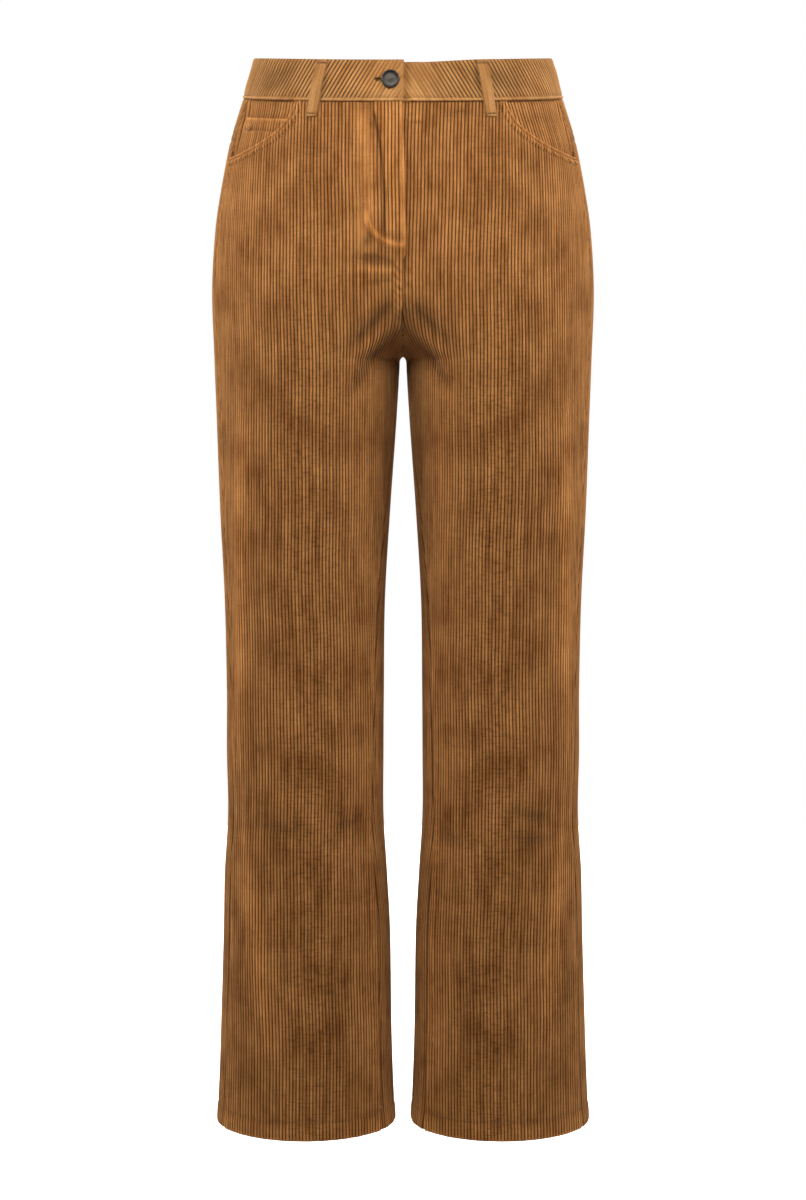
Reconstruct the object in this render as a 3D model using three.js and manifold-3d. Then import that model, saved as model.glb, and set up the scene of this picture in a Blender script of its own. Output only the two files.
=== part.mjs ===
// Corduroy trousers with a high waist and straight, wide legs, cut with five pockets and
// standing out hollow, as worn. Millimetres, +Z up; the front faces -Y and the wearer's left
// is +X. The origin is the centre of the waist opening, at half the height of the waistband.

import * as THREE from "three";
import Module from "manifold-3d";
import { mergeVertices } from "three/addons/utils/BufferGeometryUtils.js";

// ---------- driving dimensions ----------

const WALL = 1.6; // one layer of corduroy
const SEAM_GAP = 0.3; // between two pieces at a seam
const LAYER = WALL + 0.6; // from one layer's face to the face of the layer beneath it
const HIDDEN_EASE = 1.2; // how much further in a layer lies where nothing of it shows

const BAND_TOP = 19;
const WAIST_SEAM = -19;
const WAIST_GAP = 0.5; // the band and the panels lean differently where they meet
const YOKE_SIDE = -57; // the yoke seam at the outer seam
const YOKE_CENTRE = -88; // the yoke seam at centre back
const FLY_END = -168;
const FORK = -267; // where the crotch seam meets the inner leg seams
const HEM = -1026;
const HEM_TURN = 21; // height of the turned-up hem
const HEM_WALL = 3;

const BAND_WALL = 3; // two layers of cloth and an interlining
const BAND_PROUD = 0.6; // how far the band stands out past the panels
const BAND_LAP = 1; // the right end of the band, past centre front
const BAND_UNDERLAP = 28; // the left end of the band, past centre front, underneath
const BAND_STEP = { from: 2.5, to: 9 }; // where the left band steps in under the right one
const BAND_WAY_IN = 12; // the right band's first stretch, from its end
const BAND_LEFT_DROP = { depth: 2.8, reach: 80 }; // its top edge sinks towards the button

const FLY_EDGE = { top: 0, bottom: 3.3 }; // the right front's fly edge, past centre front
const FLY_UNDERLAP = 6; // the left front's edge, past centre front, underneath
const FLY_FOOT = 14; // height over which the lap closes into the centre seam
const FLY_STEP = { from: 4.5, to: 12 }; // where the left front steps in under the fly

const SCOOP = { startRight: 104, startLeft: 99, depth: 57, power: 1.6 }; // the pocket mouths
const FACING = { behind: 22, ease: 12, turn: 10, bottom: -100 }; // behind: how far it runs on inside
const COIN = { fromSeam: 9, width: 71, top: -36, bottom: -96 };
const HIDDEN = { from: -62, to: -78 }; // the layers behind the pocket mouth draw in between these levels
const BACK_POCKET = {
  centre: 101,
  topWidth: 136,
  footWidth: 118,
  drop: 28, // below the yoke seam
  side: 120,
  point: 22,
  lift: 2.6,
};

const LOOP_WIDTH = 11;
const LOOP_WALL = 1.8;
const LOOPS = [
  { name: "belt_loop_front_right", side: -1, panel: "front", top: 75, foot: 86 },
  { name: "belt_loop_front_left", side: 1, panel: "front", top: 73, foot: 83 },
  { name: "belt_loop_back_right", side: -1, panel: "back", top: 92, foot: 95 },
  { name: "belt_loop_back_left", side: 1, panel: "back", top: 92, foot: 95 },
  { name: "belt_loop_centre_back", side: 1, panel: "back", top: 0, foot: 0 },
];
// How far the loop's inner face stands off the cloth beneath it, from its top end to its foot.
const LOOP_RISE = [
  { level: 18.5, rise: 0.3 },
  { level: 14, rise: 0.4 },
  { level: 8, rise: 1.8 },
  { level: 0, rise: 2.5 },
  { level: -9, rise: 2.2 },
  { level: -18, rise: 1.2 },
  { level: -25, rise: 0.5 },
  { level: -34, rise: 0.5 },
];

const BUTTON = { across: -11.6, level: 1, radius: 8.4, rim: 1.3, thickness: 2.4, shank: 2.2, clear: 0.6 };
// Shares of the button's thickness, radius and rim that shape its face.
const BUTTON_FACE = { edge: 0.4, crest: 0.4, ledge: 0.85, dishRadius: 0.45, dish: 0.7, boss: 0.85 };
const BUTTONHOLE = { length: 14, height: 1.6, eye: 2.5, through: 20 };
const ROUND_SIDES = 20; // of the button, and 4 fewer round the buttonhole's eye

const CROTCH_ROUND = { front: 66, back: 84 }; // height over which the centre seam turns under
const FULL_TURN = 0.9995; // the centre seam's share of the full depth, where it has turned up
const PARTING = 4; // height over which the two legs part below the fork
const GRAIN_X = 95; // the lengthwise grain runs straight down each leg at this width
const WAIST_TILT = { slope: 0.088, bow: -0.00025, from: -150, to: -25 }; // front low, back high
const HEM_TILT = { slope: 0.11, from: -900, to: -1010 }; // the hem hangs lower in front

// Level sections of one half. out: outermost width; mid: width at which the leg is deepest;
// inn: inner side of the leg; front, back: greatest depths; side: depth of the outermost
// point; outSeam, inSeam: how far the two leg seams lie forward of the sides, in degrees.
const SECTIONS = [
  { level: 40, out: 137, mid: 28, inn: 0, front: -93, back: 86, side: 0, outSeam: 18, inSeam: 0 },
  { level: 19, out: 142.5, mid: 30, inn: 0, front: -95, back: 89, side: 0, outSeam: 18, inSeam: 0 },
  { level: -19, out: 153.3, mid: 36, inn: 0, front: -98, back: 95, side: 0, outSeam: 18, inSeam: 0 },
  { level: -59, out: 165.5, mid: 48, inn: 0, front: -103, back: 107, side: 0, outSeam: 16, inSeam: 0 },
  { level: -102, out: 174.4, mid: 60, inn: 0, front: -108, back: 120, side: 1, outSeam: 15, inSeam: 0 },
  { level: -145, out: 181, mid: 70, inn: 0, front: -111, back: 129, side: 2, outSeam: 16, inSeam: 0 },
  { level: -203, out: 184.6, mid: 81, inn: 0, front: -112, back: 133, side: 4, outSeam: 18, inSeam: 0 },
  { level: -267, out: 183, mid: 89, inn: 3.2, front: -109, back: 122, side: 6, outSeam: 19, inSeam: 0 },
  { level: -328, out: 180.8, mid: 93.5, inn: 6.5, front: -102, back: 105, side: 3, outSeam: 19, inSeam: 10 },
  { level: -416, out: 177.8, mid: 95, inn: 12.7, front: -91, back: 89, side: -1, outSeam: 20, inSeam: 18 },
  { level: -504, out: 173.9, mid: 95.8, inn: 17.8, front: -79, back: 77, side: -1, outSeam: 20, inSeam: 23 },
  { level: -593, out: 172.4, mid: 95.7, inn: 18.9, front: -71, back: 69, side: -1, outSeam: 21, inSeam: 27 },
  { level: -654, out: 172.8, mid: 96, inn: 19.3, front: -68, back: 67, side: 0, outSeam: 23, inSeam: 28 },
  { level: -714, out: 172, mid: 95.7, inn: 19.4, front: -66, back: 69, side: 1, outSeam: 24, inSeam: 30 },
  { level: -774, out: 176, mid: 96, inn: 15.9, front: -62, back: 74, side: 6, outSeam: 24, inSeam: 30 },
  { level: -834, out: 177.7, mid: 95.2, inn: 12.8, front: -57, back: 78, side: 10, outSeam: 24, inSeam: 30 },
  { level: -926, out: 180.9, mid: 96.2, inn: 11.6, front: -52, back: 78, side: 13, outSeam: 24, inSeam: 30 },
  { level: -987, out: 183.3, mid: 96.6, inn: 9.8, front: -49, back: 77, side: 14, outSeam: 24, inSeam: 30 },
  { level: -1050, out: 187.2, mid: 96.8, inn: 6.6, front: -47, back: 77, side: 15, outSeam: 24, inSeam: 30 },
];

// The largest folds, as soft ridges (height above 0) and troughs (below 0). across: distance
// from the grain line of the named panel, outwards; each runs straight from one end to the other.
const FOLDS = [
  // drag lines that fan out of the crotch
  { side: -1, panel: "front", across: [-80, -52], level: [-222, -252], width: 6, height: -2.4 },
  { side: -1, panel: "front", across: [-86, -50], level: [-240, -276], width: 6, height: 1.8 },
  { side: -1, panel: "front", across: [-88, -52], level: [-257, -296], width: 6, height: -2.6 },
  { side: 1, panel: "front", across: [-84, -62], level: [-224, -248], width: 5, height: -1.8 },
  { side: 1, panel: "front", across: [-86, -58], level: [-244, -272], width: 5, height: 1.5 },
  { side: 1, panel: "front", across: [-88, -64], level: [-263, -288], width: 6, height: -2.2 },
  { side: -1, panel: "back", across: [-84, -38], level: [-246, -300], width: 9, height: -3 },
  { side: -1, panel: "back", across: [-90, -46], level: [-276, -330], width: 8, height: 2.2 },
  { side: 1, panel: "back", across: [-86, -44], level: [-252, -298], width: 8, height: -2.6 },
  { side: 1, panel: "back", across: [-90, -36], level: [-282, -342], width: 9, height: 2.4 },
  // short creases where the leg breaks below the knee
  { side: -1, panel: "front", across: [-56, -28], level: [-713, -719], width: 6, height: -2.6 },
  { side: -1, panel: "front", across: [-2, 46], level: [-722, -716], width: 6, height: -1.4 },
  { side: 1, panel: "front", across: [10, 50], level: [-703, -712], width: 6, height: -1.6 },
  { side: 1, panel: "front", across: [8, 52], level: [-729, -733], width: 6, height: -1.4 },
  { side: 1, panel: "front", across: [-62, -36], level: [-726, -738], width: 6, height: -2.2 },
  { side: -1, panel: "back", across: [-40, 34], level: [-634, -646], width: 9, height: -3 },
  { side: -1, panel: "back", across: [-18, 52], level: [-668, -660], width: 8, height: -2.4 },
  { side: 1, panel: "back", across: [-30, 44], level: [-642, -630], width: 9, height: -2.8 },
  { side: 1, panel: "back", across: [-48, 20], level: [-664, -674], width: 8, height: -2.6 },
  // long soft ridges down the outer side of each leg
  { side: -1, panel: "front", across: [66, 74], level: [-330, -660], width: 9, height: 1.6 },
  { side: 1, panel: "front", across: [66, 72], level: [-320, -640], width: 9, height: 1.5 },
  { side: -1, panel: "front", across: [64, 38], level: [-735, -940], width: 11, height: 1.8 },
  { side: 1, panel: "front", across: [62, 46], level: [-735, -920], width: 10, height: 1.6 },
];

const FOLD_ENDS = 0.35; // share of a fold's height that is left at its ends
const FOLD_FREE = 12; // folds fade out over this distance from the centre seam

const COLOURS = { cloth: 0xa9743f, band: 0xad7943, metal: 0x77706a };

// ---------- the shape of the cloth ----------

const clamp01 = (value) => Math.min(1, Math.max(0, value));
const mix = (from, to, share) => from + (to - from) * share;

function smoothStep(from, to, value) {
  const share = clamp01((value - from) / (to - from));
  return share * share * (3 - 2 * share);
}

// One column of SECTIONS at any level, on a smooth curve through the table's rows.
function sizeAt(level, column) {
  let row = 0;
  while (row < SECTIONS.length - 2 && SECTIONS[row + 1].level > level) row += 1;
  const slope = (index) => {
    const before = SECTIONS[Math.max(index - 1, 0)];
    const after = SECTIONS[Math.min(index + 1, SECTIONS.length - 1)];
    return (after[column] - before[column]) / (after.level - before.level);
  };
  const upper = SECTIONS[row];
  const lower = SECTIONS[row + 1];
  const span = lower.level - upper.level;
  const t = (level - upper.level) / span;
  const keepUpper = 2 * t ** 3 - 3 * t ** 2 + 1;
  const bendUpper = (t ** 3 - 2 * t ** 2 + t) * span * slope(row);
  const bendLower = (t ** 3 - t ** 2) * span * slope(row + 1);
  return keepUpper * upper[column] + (1 - keepUpper) * lower[column] + bendUpper + bendLower;
}

const QUARTER_STEPS = 24;
const RING_STEPS = 4 * QUARTER_STEPS;

// The outline of one half at one level: a ring that starts on the inner side (or at centre
// front, above the fork), passes the front, the outer side and the back, and returns.
class Section {
  constructor(level) {
    const columns = ["out", "mid", "inn", "front", "back", "side", "outSeam", "inSeam"];
    this.size = Object.fromEntries(columns.map((column) => [column, sizeAt(level, column)]));
    this.lift = level - FORK;
    this.points = [];
    for (let step = 0; step <= RING_STEPS; step += 1) this.points.push(this.outline(step));
    this.arcs = [0];
    for (let step = 1; step <= RING_STEPS; step += 1) {
      const length = this.points[step].distanceTo(this.points[step - 1]);
      this.arcs.push(this.arcs[step - 1] + length);
    }
    this.perimeter = this.arcs[RING_STEPS];
  }

  // How deep the centre line lies as a share of the whole depth: it turns under at the crotch.
  centreShare(panel) {
    const turned = clamp01(this.lift / CROTCH_ROUND[panel]);
    return Math.min(FULL_TURN, Math.sqrt(1 - (1 - turned) ** 2));
  }

  outline(step) {
    const { out, mid, inn, front, back, side } = this.size;
    const panel = step * 2 <= RING_STEPS ? "front" : "back";
    const depth = panel === "front" ? front - side : back - side;
    const turn = Math.min(step, RING_STEPS - step) / QUARTER_STEPS;
    if (turn >= 1) {
      const angle = (turn * Math.PI) / 2;
      return new THREE.Vector2(mid - (out - mid) * Math.cos(angle), side + depth * Math.sin(angle));
    }
    const first = this.lift > 0 ? Math.asin(this.centreShare(panel)) : 0;
    const parting = inn * Math.sqrt(clamp01(-this.lift / PARTING));
    const reach = (mid - parting) / Math.cos(first);
    const angle = mix(first, Math.PI / 2, turn);
    return new THREE.Vector2(mid - reach * Math.cos(angle), side + depth * Math.sin(angle));
  }

  // The arc, counted from centre front, at an angle round the ring.
  arcAtAngle(degrees) {
    const place = (degrees / 360) * RING_STEPS;
    const step = Math.min(Math.floor(place), RING_STEPS - 1);
    return mix(this.arcs[step], this.arcs[step + 1], place - step);
  }

  // Arcs of the seams and of the grain line, counted from the named panel's centre.
  outSeam(panel) {
    const arc = this.arcAtAngle(180 - this.size.outSeam);
    return panel === "front" ? arc : this.perimeter - arc;
  }

  inSeam(panel) {
    const arc = this.lift >= 0 ? 0 : this.arcAtAngle(Math.max(this.size.inSeam, 0));
    return panel === "front" ? arc : -arc;
  }

  // The line where the leg is deepest, half way between its inner and outer sides.
  crease(panel) {
    const arc = this.arcAtAngle(90);
    return panel === "front" ? arc : this.perimeter - this.arcAtAngle(270);
  }

  grain(panel) {
    const step = this.points.findIndex(({ x }) => x >= GRAIN_X);
    const mirror = RING_STEPS - step;
    return panel === "front" ? this.arcs[step] : this.perimeter - this.arcs[mirror];
  }

  // The place and the outward direction at an arc from centre front.
  at(arc) {
    const closed = this.lift < 0;
    const mirrored = !closed && (arc < 0 || arc > this.perimeter);
    let along = arc;
    if (closed) along = ((arc % this.perimeter) + this.perimeter) % this.perimeter;
    else if (arc < 0) along = -arc;
    else if (arc > this.perimeter) along = 2 * this.perimeter - arc;
    let step = 0;
    while (step < RING_STEPS - 1 && this.arcs[step + 1] < along) step += 1;
    const start = this.points[step];
    const end = this.points[step + 1];
    const length = Math.max(this.arcs[step + 1] - this.arcs[step], 1e-9);
    const place = start.clone().lerp(end, (along - this.arcs[step]) / length);
    const outward = new THREE.Vector2(end.y - start.y, start.x - end.x).normalize();
    if (mirrored) {
      place.x = -place.x;
      outward.x = -outward.x;
    }
    return { place, outward, fromCentre: Math.min(along, this.perimeter - along) };
  }
}

const sections = new Map();

function sectionAt(level) {
  if (!sections.has(level)) sections.set(level, new Section(level));
  return sections.get(level);
}

// Height of all folds at a place given by its arc from centre front.
function foldHeight(side, arc, level, fromCentre) {
  const section = sectionAt(level);
  let height = 0;
  for (const fold of FOLDS) {
    if (fold.side !== side) continue;
    const panelArc = fold.panel === "front" ? arc : section.perimeter - arc;
    const across = panelArc - section.grain(fold.panel);
    const run = new THREE.Vector2(fold.across[1] - fold.across[0], fold.level[1] - fold.level[0]);
    const from = new THREE.Vector2(across - fold.across[0], level - fold.level[0]);
    const share = clamp01(from.dot(run) / run.lengthSq());
    const away = from.sub(run.multiplyScalar(share)).length() / fold.width;
    const taper = mix(FOLD_ENDS, 1, Math.sin(Math.PI * share));
    height += fold.height * taper * Math.exp(-away * away);
  }
  return height * smoothStep(0, FOLD_FREE, fromCentre);
}

// A point of the cloth's outer face. arc is counted from the named panel's centre line.
function clothPoint(side, panel, arc, level) {
  const section = sectionAt(level);
  const ringArc = panel === "front" ? arc : section.perimeter - arc;
  const { place, outward, fromCentre } = section.at(ringArc);
  place.addScaledVector(outward, foldHeight(side, ringArc, level, fromCentre));
  const waistShare = smoothStep(WAIST_TILT.from, WAIST_TILT.to, level);
  const waistTilt = (WAIST_TILT.slope + WAIST_TILT.bow * place.y) * place.y * waistShare;
  const hemShare = 1 - smoothStep(HEM_TILT.to, HEM_TILT.from, level);
  const hemTilt = HEM_TILT.slope * (place.y - section.size.side) * hemShare;
  return new THREE.Vector3(side * (place.x + SEAM_GAP / 2), place.y, level + waistTilt + hemTilt);
}

const REACH = 0.7; // distance over which the cloth's direction is taken
const JUST_BELOW = 0.01; // under the fork, where each leg is a ring of its own
const FOLLOW = { from: 2, to: 24 }; // arcs between which a place follows the outer seam up the leg

function clothNormal(side, panel, arc, level) {
  const reach = REACH;
  const above = level >= FORK;
  const high = above ? level + reach : Math.min(level + reach, FORK - JUST_BELOW);
  const low = above ? Math.max(level - reach, FORK) : level - reach;
  const across = clothPoint(side, panel, arc + reach, level);
  across.sub(clothPoint(side, panel, arc - reach, level));
  // away from the centre line, a place is followed up the leg by its distance from the outer seam
  const share = smoothStep(FOLLOW.from, FOLLOW.to, arc);
  const follow = (height) => {
    const shift = sectionAt(height).outSeam(panel) - sectionAt(level).outSeam(panel);
    return clothPoint(side, panel, arc + shift * share, height);
  };
  const up = follow(high).sub(follow(low));
  const outward = across.cross(up).normalize();
  return outward.multiplyScalar(panel === "front" ? side : -side);
}

// ---------- closed shells of cloth ----------

// Makes a closed wall from a grid of places on the cloth. Each place has its arc and level,
// lift, the height of its outer face above the cloth's own, and wall, its thickness.
function shell(side, panel, grid) {
  const rows = grid.length;
  const columns = grid[0].length;
  const positions = [];
  for (const inner of [0, 1]) {
    for (const place of grid.flat()) {
      const { arc, level, lift = 0, wall = WALL } = place;
      const point = clothPoint(side, panel, arc, level);
      point.addScaledVector(clothNormal(side, panel, arc, level), lift - inner * wall);
      positions.push(point.x, point.y, point.z);
    }
  }
  const vertex = (row, column, inner) => (inner * rows + row) * columns + column;
  const faces = [];
  const quad = (a, b, c, d) => faces.push(a, b, c, a, c, d);
  for (let row = 0; row < rows - 1; row += 1) {
    for (let column = 0; column < columns - 1; column += 1) {
      const corners = [[row, column], [row + 1, column], [row + 1, column + 1], [row, column + 1]];
      quad(...corners.map(([r, c]) => vertex(r, c, 0)));
      quad(...corners.reverse().map(([r, c]) => vertex(r, c, 1)));
    }
  }
  const rim = [];
  for (let column = 0; column < columns; column += 1) rim.push([0, column]);
  for (let row = 1; row < rows; row += 1) rim.push([row, columns - 1]);
  for (let column = columns - 2; column >= 0; column -= 1) rim.push([rows - 1, column]);
  for (let row = rows - 2; row > 0; row -= 1) rim.push([row, 0]);
  rim.forEach(([row, column], index) => {
    const [nextRow, nextColumn] = rim[(index + 1) % rim.length];
    const outerPair = [vertex(row, column, 0), vertex(nextRow, nextColumn, 0)];
    const innerPair = [vertex(nextRow, nextColumn, 1), vertex(row, column, 1)];
    quad(...outerPair, ...innerPair);
  });
  const geometry = new THREE.BufferGeometry();
  geometry.setAttribute("position", new THREE.Float32BufferAttribute(positions, 3));
  geometry.setIndex(signedVolume(positions, faces) < 0 ? faces.reverse() : faces);
  return geometry;
}

function signedVolume(positions, faces) {
  const corner = (index) => new THREE.Vector3().fromArray(positions, faces[index] * 3);
  let volume = 0;
  for (let index = 0; index < faces.length; index += 3) {
    volume += corner(index).dot(corner(index + 1).cross(corner(index + 2))) / 6;
  }
  return volume;
}

// Rows of places between two rows that have the same number of columns.
function blendRows(top, bottom, count) {
  return Array.from({ length: count + 1 }, (_, row) =>
    top.map((place, column) => ({
      arc: mix(place.arc, bottom[column].arc, row / count),
      level: mix(place.level, bottom[column].level, row / count),
    })),
  );
}

const spread = (from, to, count) =>
  Array.from({ length: count + 1 }, (_, index) => mix(from, to, index / count));

// ---------- leg panels ----------

const PANEL_COLUMNS = 10;
const MOUTH_COLUMNS = 5; // of them, along the pocket mouth
const INNER_COLUMNS = 5; // of them, from the inner edge to the deepest line of the leg
const FORK_ROWS = { above: 6, below: 4, unit: 1.6 }; // rows close up as squares towards the fork
const TOP_BLOCK_END = -95;
const SHAPED_ROWS = { front: 4, back: 3, yoke: 3, pocket: 7, coin: 4 }; // rows under a shaped top
const PATCH_COLUMNS = { yoke: 7, facing: 6, coin: 5, pocket: 10, band: 20 };
const HIP_LEVELS = [-122, -149, FLY_END, FLY_END - FLY_FOOT];
const LEG_LEVELS = [
  -312, -338, -368, -402, -440, -485, -535, -585, -628, -648, -668, -695, -711, -721, -733, -755,
  -795, -845, -900, -960,
];

function panelLevels() {
  const levels = [...HIP_LEVELS];
  for (let row = FORK_ROWS.above; row >= -FORK_ROWS.below; row -= 1) {
    levels.push(FORK + Math.sign(row) * FORK_ROWS.unit * row * row);
  }
  return [...levels, ...LEG_LEVELS, HEM + HEM_TURN + 1, HEM + HEM_TURN, HEM];
}

const wallAt = (level) => (level <= HEM + HEM_TURN ? HEM_WALL : WALL);

const scoopStart = (side) => (side < 0 ? SCOOP.startRight : SCOOP.startLeft);

function pocketMouth(side, angle) {
  const across = Math.cos(angle) ** (2 / SCOOP.power);
  const level = WAIST_SEAM - SCOOP.depth * Math.sin(angle) ** (2 / SCOOP.power);
  const seam = sectionAt(level).outSeam("front") - SEAM_GAP / 2;
  return { arc: mix(seam, scoopStart(side), across), level };
}

// The centre edge of each front: laid over or under the other along the fly.
function flyEdge(side, level) {
  const closing = smoothStep(FLY_END, FLY_END - FLY_FOOT, level);
  const edge = mix(FLY_EDGE.top, FLY_EDGE.bottom, (level - WAIST_SEAM) / (FLY_END - WAIST_SEAM));
  if (side < 0) return level < FLY_END ? mix(-FLY_EDGE.bottom, 0, closing) : -edge;
  return level > FLY_END ? -FLY_UNDERLAP : mix(FLY_EDGE.bottom + SEAM_GAP, 0, closing);
}

function flyLift(side, arc, level) {
  if (side < 0) return 0;
  const depth = smoothStep(FLY_END - 2 * FLY_FOOT, FLY_END - FLY_FOOT, level);
  return -LAYER * depth * (1 - smoothStep(FLY_STEP.from, FLY_STEP.to, arc));
}

function frontRow(side, level) {
  const section = sectionAt(level);
  const crease = section.crease("front");
  const outer = section.outSeam("front") - SEAM_GAP / 2;
  const seam = section.inSeam("front") + SEAM_GAP / 2;
  let inner = [seam, mix(seam, crease, 1 / INNER_COLUMNS)];
  if (level > FORK && side < 0) inner = [flyEdge(side, level), FLY_STEP.to];
  if (level > FORK && side > 0) inner = [flyEdge(side, level), FLY_STEP.from, FLY_STEP.to];
  const toCrease = spread(inner.pop(), crease, INNER_COLUMNS - inner.length);
  const toSeam = spread(crease, outer, PANEL_COLUMNS - INNER_COLUMNS).slice(1);
  return [...inner, ...toCrease, ...toSeam].map((arc) => ({ arc, level }));
}

function frontPanel(side) {
  const foot = frontRow(side, TOP_BLOCK_END);
  const seamLevel = WAIST_SEAM - WAIST_GAP / 2;
  const laps = foot.length - 1 - MOUTH_COLUMNS;
  const top = foot.map(({ arc }, column) => {
    if (column >= laps) return pocketMouth(side, ((column - laps) / MOUTH_COLUMNS) * (Math.PI / 2));
    const edge = column === 0 ? flyEdge(side, seamLevel) : arc;
    const fixed = side > 0 ? 2 : 1;
    const share = (column - fixed) / (laps - fixed);
    return { arc: column < fixed ? edge : mix(foot[fixed].arc, scoopStart(side), share), level: seamLevel };
  });
  top[laps].level = seamLevel;
  const shaped = blendRows(top, foot, SHAPED_ROWS.front);
  const rows = [...shaped, ...panelLevels().map((level) => frontRow(side, level))];
  return rows.map((row) =>
    row.map(({ arc, level }) => ({
      arc,
      level,
      lift: flyLift(side, arc, level),
      wall: wallAt(level),
    })),
  );
}

const yokeSeam = (share) => mix(YOKE_CENTRE, YOKE_SIDE, share);

function backRow(level) {
  const section = sectionAt(level);
  const inner = section.inSeam("back") + (level <= FORK ? SEAM_GAP / 2 : 0);
  const toCrease = spread(inner, section.crease("back"), INNER_COLUMNS);
  const outer = section.outSeam("back") - SEAM_GAP / 2;
  const toSeam = spread(section.crease("back"), outer, PANEL_COLUMNS - INNER_COLUMNS).slice(1);
  return [...toCrease, ...toSeam].map((arc) => ({ arc, level }));
}

// A row along the yoke seam, moved up or down by half the seam's gap.
function yokeSeamRow(shift, columns) {
  return spread(0, 1, columns).map((share) => {
    const level = yokeSeam(share) + shift;
    return { arc: share * (sectionAt(level).outSeam("back") - SEAM_GAP / 2), level };
  });
}

function backPanel() {
  const top = yokeSeamRow(-SEAM_GAP / 2, PANEL_COLUMNS);
  const foot = backRow(HIP_LEVELS[0]);
  const shaped = blendRows(top, foot, SHAPED_ROWS.back);
  const rows = [...shaped, ...panelLevels().slice(1).map((level) => backRow(level))];
  return rows.map((row) => row.map((place) => ({ ...place, wall: wallAt(place.level) })));
}

function yoke() {
  const columns = PATCH_COLUMNS.yoke;
  const level = WAIST_SEAM - WAIST_GAP / 2;
  const outer = sectionAt(level).outSeam("back") - SEAM_GAP / 2;
  const top = spread(0, outer, columns).map((arc) => ({ arc, level }));
  return blendRows(top, yokeSeamRow(SEAM_GAP / 2, columns), SHAPED_ROWS.yoke);
}

// ---------- pockets ----------

const hiddenEase = (level) => HIDDEN_EASE * smoothStep(HIDDEN.from, HIDDEN.to, level);

// The facing lies a layer behind the front, and two layers behind it under the coin pocket.
function hipFacing(side) {
  const deepest = side < 0 ? -2 * LAYER : -LAYER;
  const below = [WAIST_SEAM - FACING.turn, HIDDEN.from + FACING.turn, HIDDEN.to + 2, FACING.bottom];
  return [WAIST_SEAM - WAIST_GAP / 2, ...below].map((level, row) => {
    const seam = sectionAt(level).outSeam("front") - SEAM_GAP / 2;
    const flat = seam - COIN.fromSeam + SEAM_GAP;
    const arcs = [...spread(scoopStart(side) - FACING.behind, flat, PATCH_COLUMNS.facing), seam];
    return arcs.map((arc) => {
      const flush = row === 0 || arc === seam;
      const behind = HIDDEN_EASE * smoothStep(scoopStart(side), scoopStart(side) - FACING.ease, arc);
      return { arc, level, lift: (flush ? -LAYER : deepest) - Math.max(behind, hiddenEase(level)) };
    });
  });
}

function coinPocket() {
  return spread(COIN.top, COIN.bottom, SHAPED_ROWS.coin).map((level) => {
    const outer = sectionAt(level).outSeam("front") - SEAM_GAP / 2 - COIN.fromSeam;
    const lift = -LAYER - hiddenEase(level);
    return spread(outer - COIN.width, outer, PATCH_COLUMNS.coin).map((arc) => ({ arc, level, lift }));
  });
}

// A patch with a pointed foot, laid on the back panel with its mouth along the yoke seam.
function backPocket() {
  const shares = spread(-0.5, 0.5, PATCH_COLUMNS.pocket);
  const edge = (width, place) =>
    shares.map((share) => ({ arc: BACK_POCKET.centre + width * share, ...place(share) }));
  const mouthLevel = (share) => {
    const arc = BACK_POCKET.centre + BACK_POCKET.topWidth * share;
    return yokeSeam(arc / sectionAt(YOKE_SIDE).outSeam("back")) - BACK_POCKET.drop;
  };
  const top = edge(BACK_POCKET.topWidth, (share) => ({ level: mouthLevel(share) }));
  const foot = edge(BACK_POCKET.footWidth, (share) => ({
    level: mouthLevel(share) - BACK_POCKET.side - BACK_POCKET.point * (1 - 2 * Math.abs(share)),
  }));
  const rows = blendRows(top, foot, SHAPED_ROWS.pocket);
  return rows.map((row) => row.map((place) => ({ ...place, lift: BACK_POCKET.lift })));
}

// ---------- waistband, loops and button ----------

function bandRow(side, level) {
  const { perimeter } = sectionAt(level);
  const laps = side > 0 ? [-BAND_UNDERLAP, -BAND_UNDERLAP / 2, BAND_STEP.from] : [-BAND_LAP];
  const first = side > 0 ? BAND_STEP.to : BAND_WAY_IN;
  return [...laps, ...spread(first, perimeter, PATCH_COLUMNS.band)].map((arc) => {
    const under = side > 0 && arc <= BAND_STEP.from;
    return { arc, level, lift: BAND_PROUD - (under ? BAND_WALL + SEAM_GAP : 0), wall: BAND_WALL };
  });
}

function waistband(side) {
  const bottom = bandRow(side, WAIST_SEAM + WAIST_GAP / 2);
  const top = bandRow(side, BAND_TOP).map((place) => {
    const sinking = side > 0 ? 1 - smoothStep(0, BAND_LEFT_DROP.reach, place.arc) : 0;
    return { ...place, level: place.level - BAND_LEFT_DROP.depth * sinking };
  });
  return [top, bottom];
}

function beltLoop({ top, foot }) {
  const span = LOOP_RISE[0].level - LOOP_RISE[LOOP_RISE.length - 1].level;
  return LOOP_RISE.map(({ level, rise }) => {
    const centre = mix(top, foot, (LOOP_RISE[0].level - level) / span);
    const beneath = level > WAIST_SEAM ? BAND_PROUD : 0;
    const lift = beneath + rise + LOOP_WALL;
    return [-0.5, 0.5].map((half) => ({ arc: centre + half * LOOP_WIDTH, level, lift, wall: LOOP_WALL }));
  });
}

// Where the button's axis meets the outer face of the band's right end.
function buttonSeat() {
  const arc = -BUTTON.across;
  const normal = clothNormal(-1, "front", arc, BUTTON.level);
  const place = clothPoint(-1, "front", arc, BUTTON.level).addScaledVector(normal, BAND_PROUD);
  return { place, normal };
}

function closedSolid(wasm, geometry) {
  const bare = geometry.clone();
  bare.deleteAttribute("normal");
  bare.deleteAttribute("uv");
  const merged = mergeVertices(bare, 1e-4);
  const vertProperties = Float32Array.from(merged.attributes.position.array);
  const triVerts = Uint32Array.from(merged.index.array);
  return new wasm.Manifold(new wasm.Mesh({ numProp: 3, vertProperties, triVerts }));
}

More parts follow.
